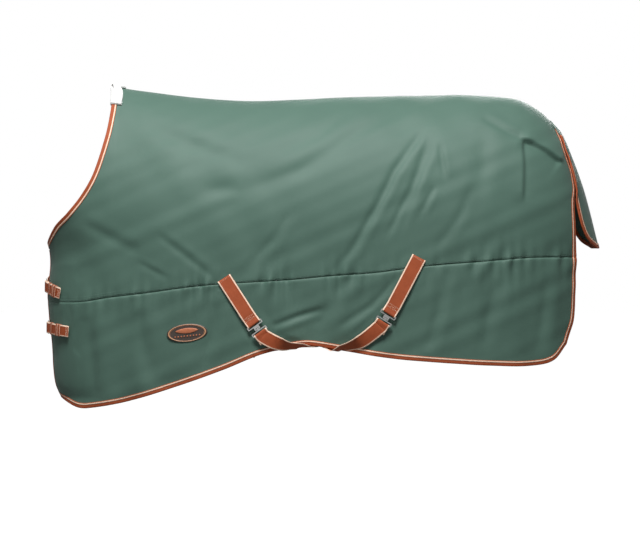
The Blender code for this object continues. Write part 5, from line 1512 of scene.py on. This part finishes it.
def ovalPatch():
    x, z = patchShape["at"]
    at = sidePoint(near, x, z)
    up = (at - sidePoint(near, x, z - 0.03)).normalized()
    along = (sidePoint(near, x + 0.05, z) - at).normalized()
    normal = along.cross(up).normalized()
    up = normal.cross(along)
    if normal.y > 0:
        normal.negate()
    tilt = math.radians(patchShape["tilt"])
    along, up = along * math.cos(tilt) + up * math.sin(tilt), up * math.cos(tilt) - along * math.sin(tilt)
    count = patchShape["around"]
    points, faces, picks = [], [], []

    def spotAt(share, angle, height):
        u = patchShape["length"] / 2 * share * math.cos(angle)
        v = patchShape["height"] / 2 * share * math.sin(angle)
        spot, _ = onCloth(at + along * u + up * v)
        flat = at + along * u + up * v
        lift = max((spot - flat).dot(normal), 0.0) * 0.6
        return flat + normal * (height + lift)

    centre = spotAt(0.0, 0.0, patchShape["rings"][0][1])
    points.append(centre)
    for share, height, _ in patchShape["rings"][1:]:
        points += [spotAt(share, 2 * math.pi * k / count, height) for k in range(count)]
    for k in range(count):
        faces.append([0, 1 + k, 1 + (k + 1) % count])
        picks.append(1)
    for ring in range(len(patchShape["rings"]) - 2):
        for k in range(count):
            a, b = 1 + ring * count + k, 1 + ring * count + (k + 1) % count
            faces.append([a, a + count, b + count, b])
            picks.append(patchShape["rings"][ring + 2][2])
    last = 1 + (len(patchShape["rings"]) - 2) * count
    faces.append([last + k for k in range(count)])
    picks.append(1)
    patch = faceOutward(makeMesh("ovalPatch", points, faces, [patchLeather, patchDark, patchTan], picks))
    stitches = []
    line = [(spotAt(0.835, 2 * math.pi * k / 240, 0.0018), normal) for k in range(241)]
    stitches += stitchRun(line, pitch=0.0046)
    thread = stitchMesh("patchThread", stitches, copperThread, length=0.0028)
    # plain raised motif: a long lens over a row of studs
    motif = [(0.0, 0.0075, 0.040, 0.0095)]
    motif += [(0.0105 * step, -0.0105, 0.0028, 0.0028) for step in range(-4, 5)]
    mp, mf = [], []
    for cu, cv, hu, hv in motif:
        base = len(mp)
        for scale, height in ((1.0, 0.0016), (0.93, 0.0033), (0.80, 0.0037)):
            for k in range(24):
                angle = 2 * math.pi * k / 24
                cu1 = abs(math.cos(angle)) ** 1.25 * math.copysign(1, math.cos(angle))
                cv1 = abs(math.sin(angle)) ** 1.25 * math.copysign(1, math.sin(angle))
                mp.append(at + along * (cu + hu * scale * cu1) + up * (cv + hv * scale * cv1)
                          + normal * height)
        for ring in range(2):
            for k in range(24):
                n = (k + 1) % 24
                ringAt = base + ring * 24
                mf.append([ringAt + k, ringAt + n, ringAt + 24 + n, ringAt + 24 + k])
        mf.append([base + 48 + k for k in range(24)])
        mf.append([base + k for k in range(24)][::-1])
    emblem = faceOutward(makeMesh("patchMotif", mp, mf, [patchLeather]))
    thread.parent = patch
    emblem.parent = patch
    return patch


patch = ovalPatch()
strapThread = stitchMesh("strapThread", strapStitches, creamStripe)
print("patch ready")


# metal parts of the frame in nickelled steel, all but the chest buckles and prongs with softened edges
metalNodes = ["eye_plate_front", "eye_plate_rear", "t_hook_front", "t_hook_rear", "surcingle_slide_front",
              "surcingle_slide_rear", "leg_ring_left", "leg_ring_right", "chest_buckle_upper",
              "chest_buckle_lower", "chest_prong_upper", "chest_prong_lower"]
for nodeName in metalNodes:
    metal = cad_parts[nodeName]
    for index in range(len(metal.material_slots)):
        metal.material_slots[index].material = nickelSteel
    if nodeName.startswith("chest_"):
        continue
    soften = metal.modifiers.new("softEdge", "BEVEL")
    soften.width = 0.0004
    soften.segments = 2
    soften.limit_method = "ANGLE"
    soften.angle_limit = math.radians(40)


# what each piece stands for, and the body it rides on
def hang(piece, slotName, nodes, body="rug"):
    if nodes:
        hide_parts(*nodes)
    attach(piece, body)


hang(shellUpper, "green_fabric", ["shell_upper"])
hang(shellLowerLeft, "green_fabric", ["shell_lower_left"])
hang(shellLowerRight, "green_fabric", ["shell_lower_right"])
hang(liningCloth, "lining_fabric", ["lining"])
for (word, side), (binding, _, _) in bindings.items():
    hang(binding, "copper_webbing", [("neck_binding_" if word == "neckBinding" else "edge_binding_")
                                     + nodeWords[side]])
for nodeName, strap in strapPieces.items():
    hang(strap, "copper_webbing", [nodeName], nodeName if nodeName.startswith("chest_keeper") else "rug")
hang(tailFlap, "green_fabric", ["tail_flap"], "tail_flap")
hang(flapBinding, "copper_webbing", ["tail_flap_binding"], "tail_flap")
hang(flapThread, "copper_webbing", [], "tail_flap")
hang(witherFleece, "fleece", ["wither_fleece_outer", "wither_fleece_inner"])
hang(patch, "leather_patch", ["oval_patch"])
hang(sideSeamThread, "green_fabric", [])
hang(bindingThread, "copper_webbing", [])
hang(strapThread, "copper_webbing", [])

print("pieces placed")
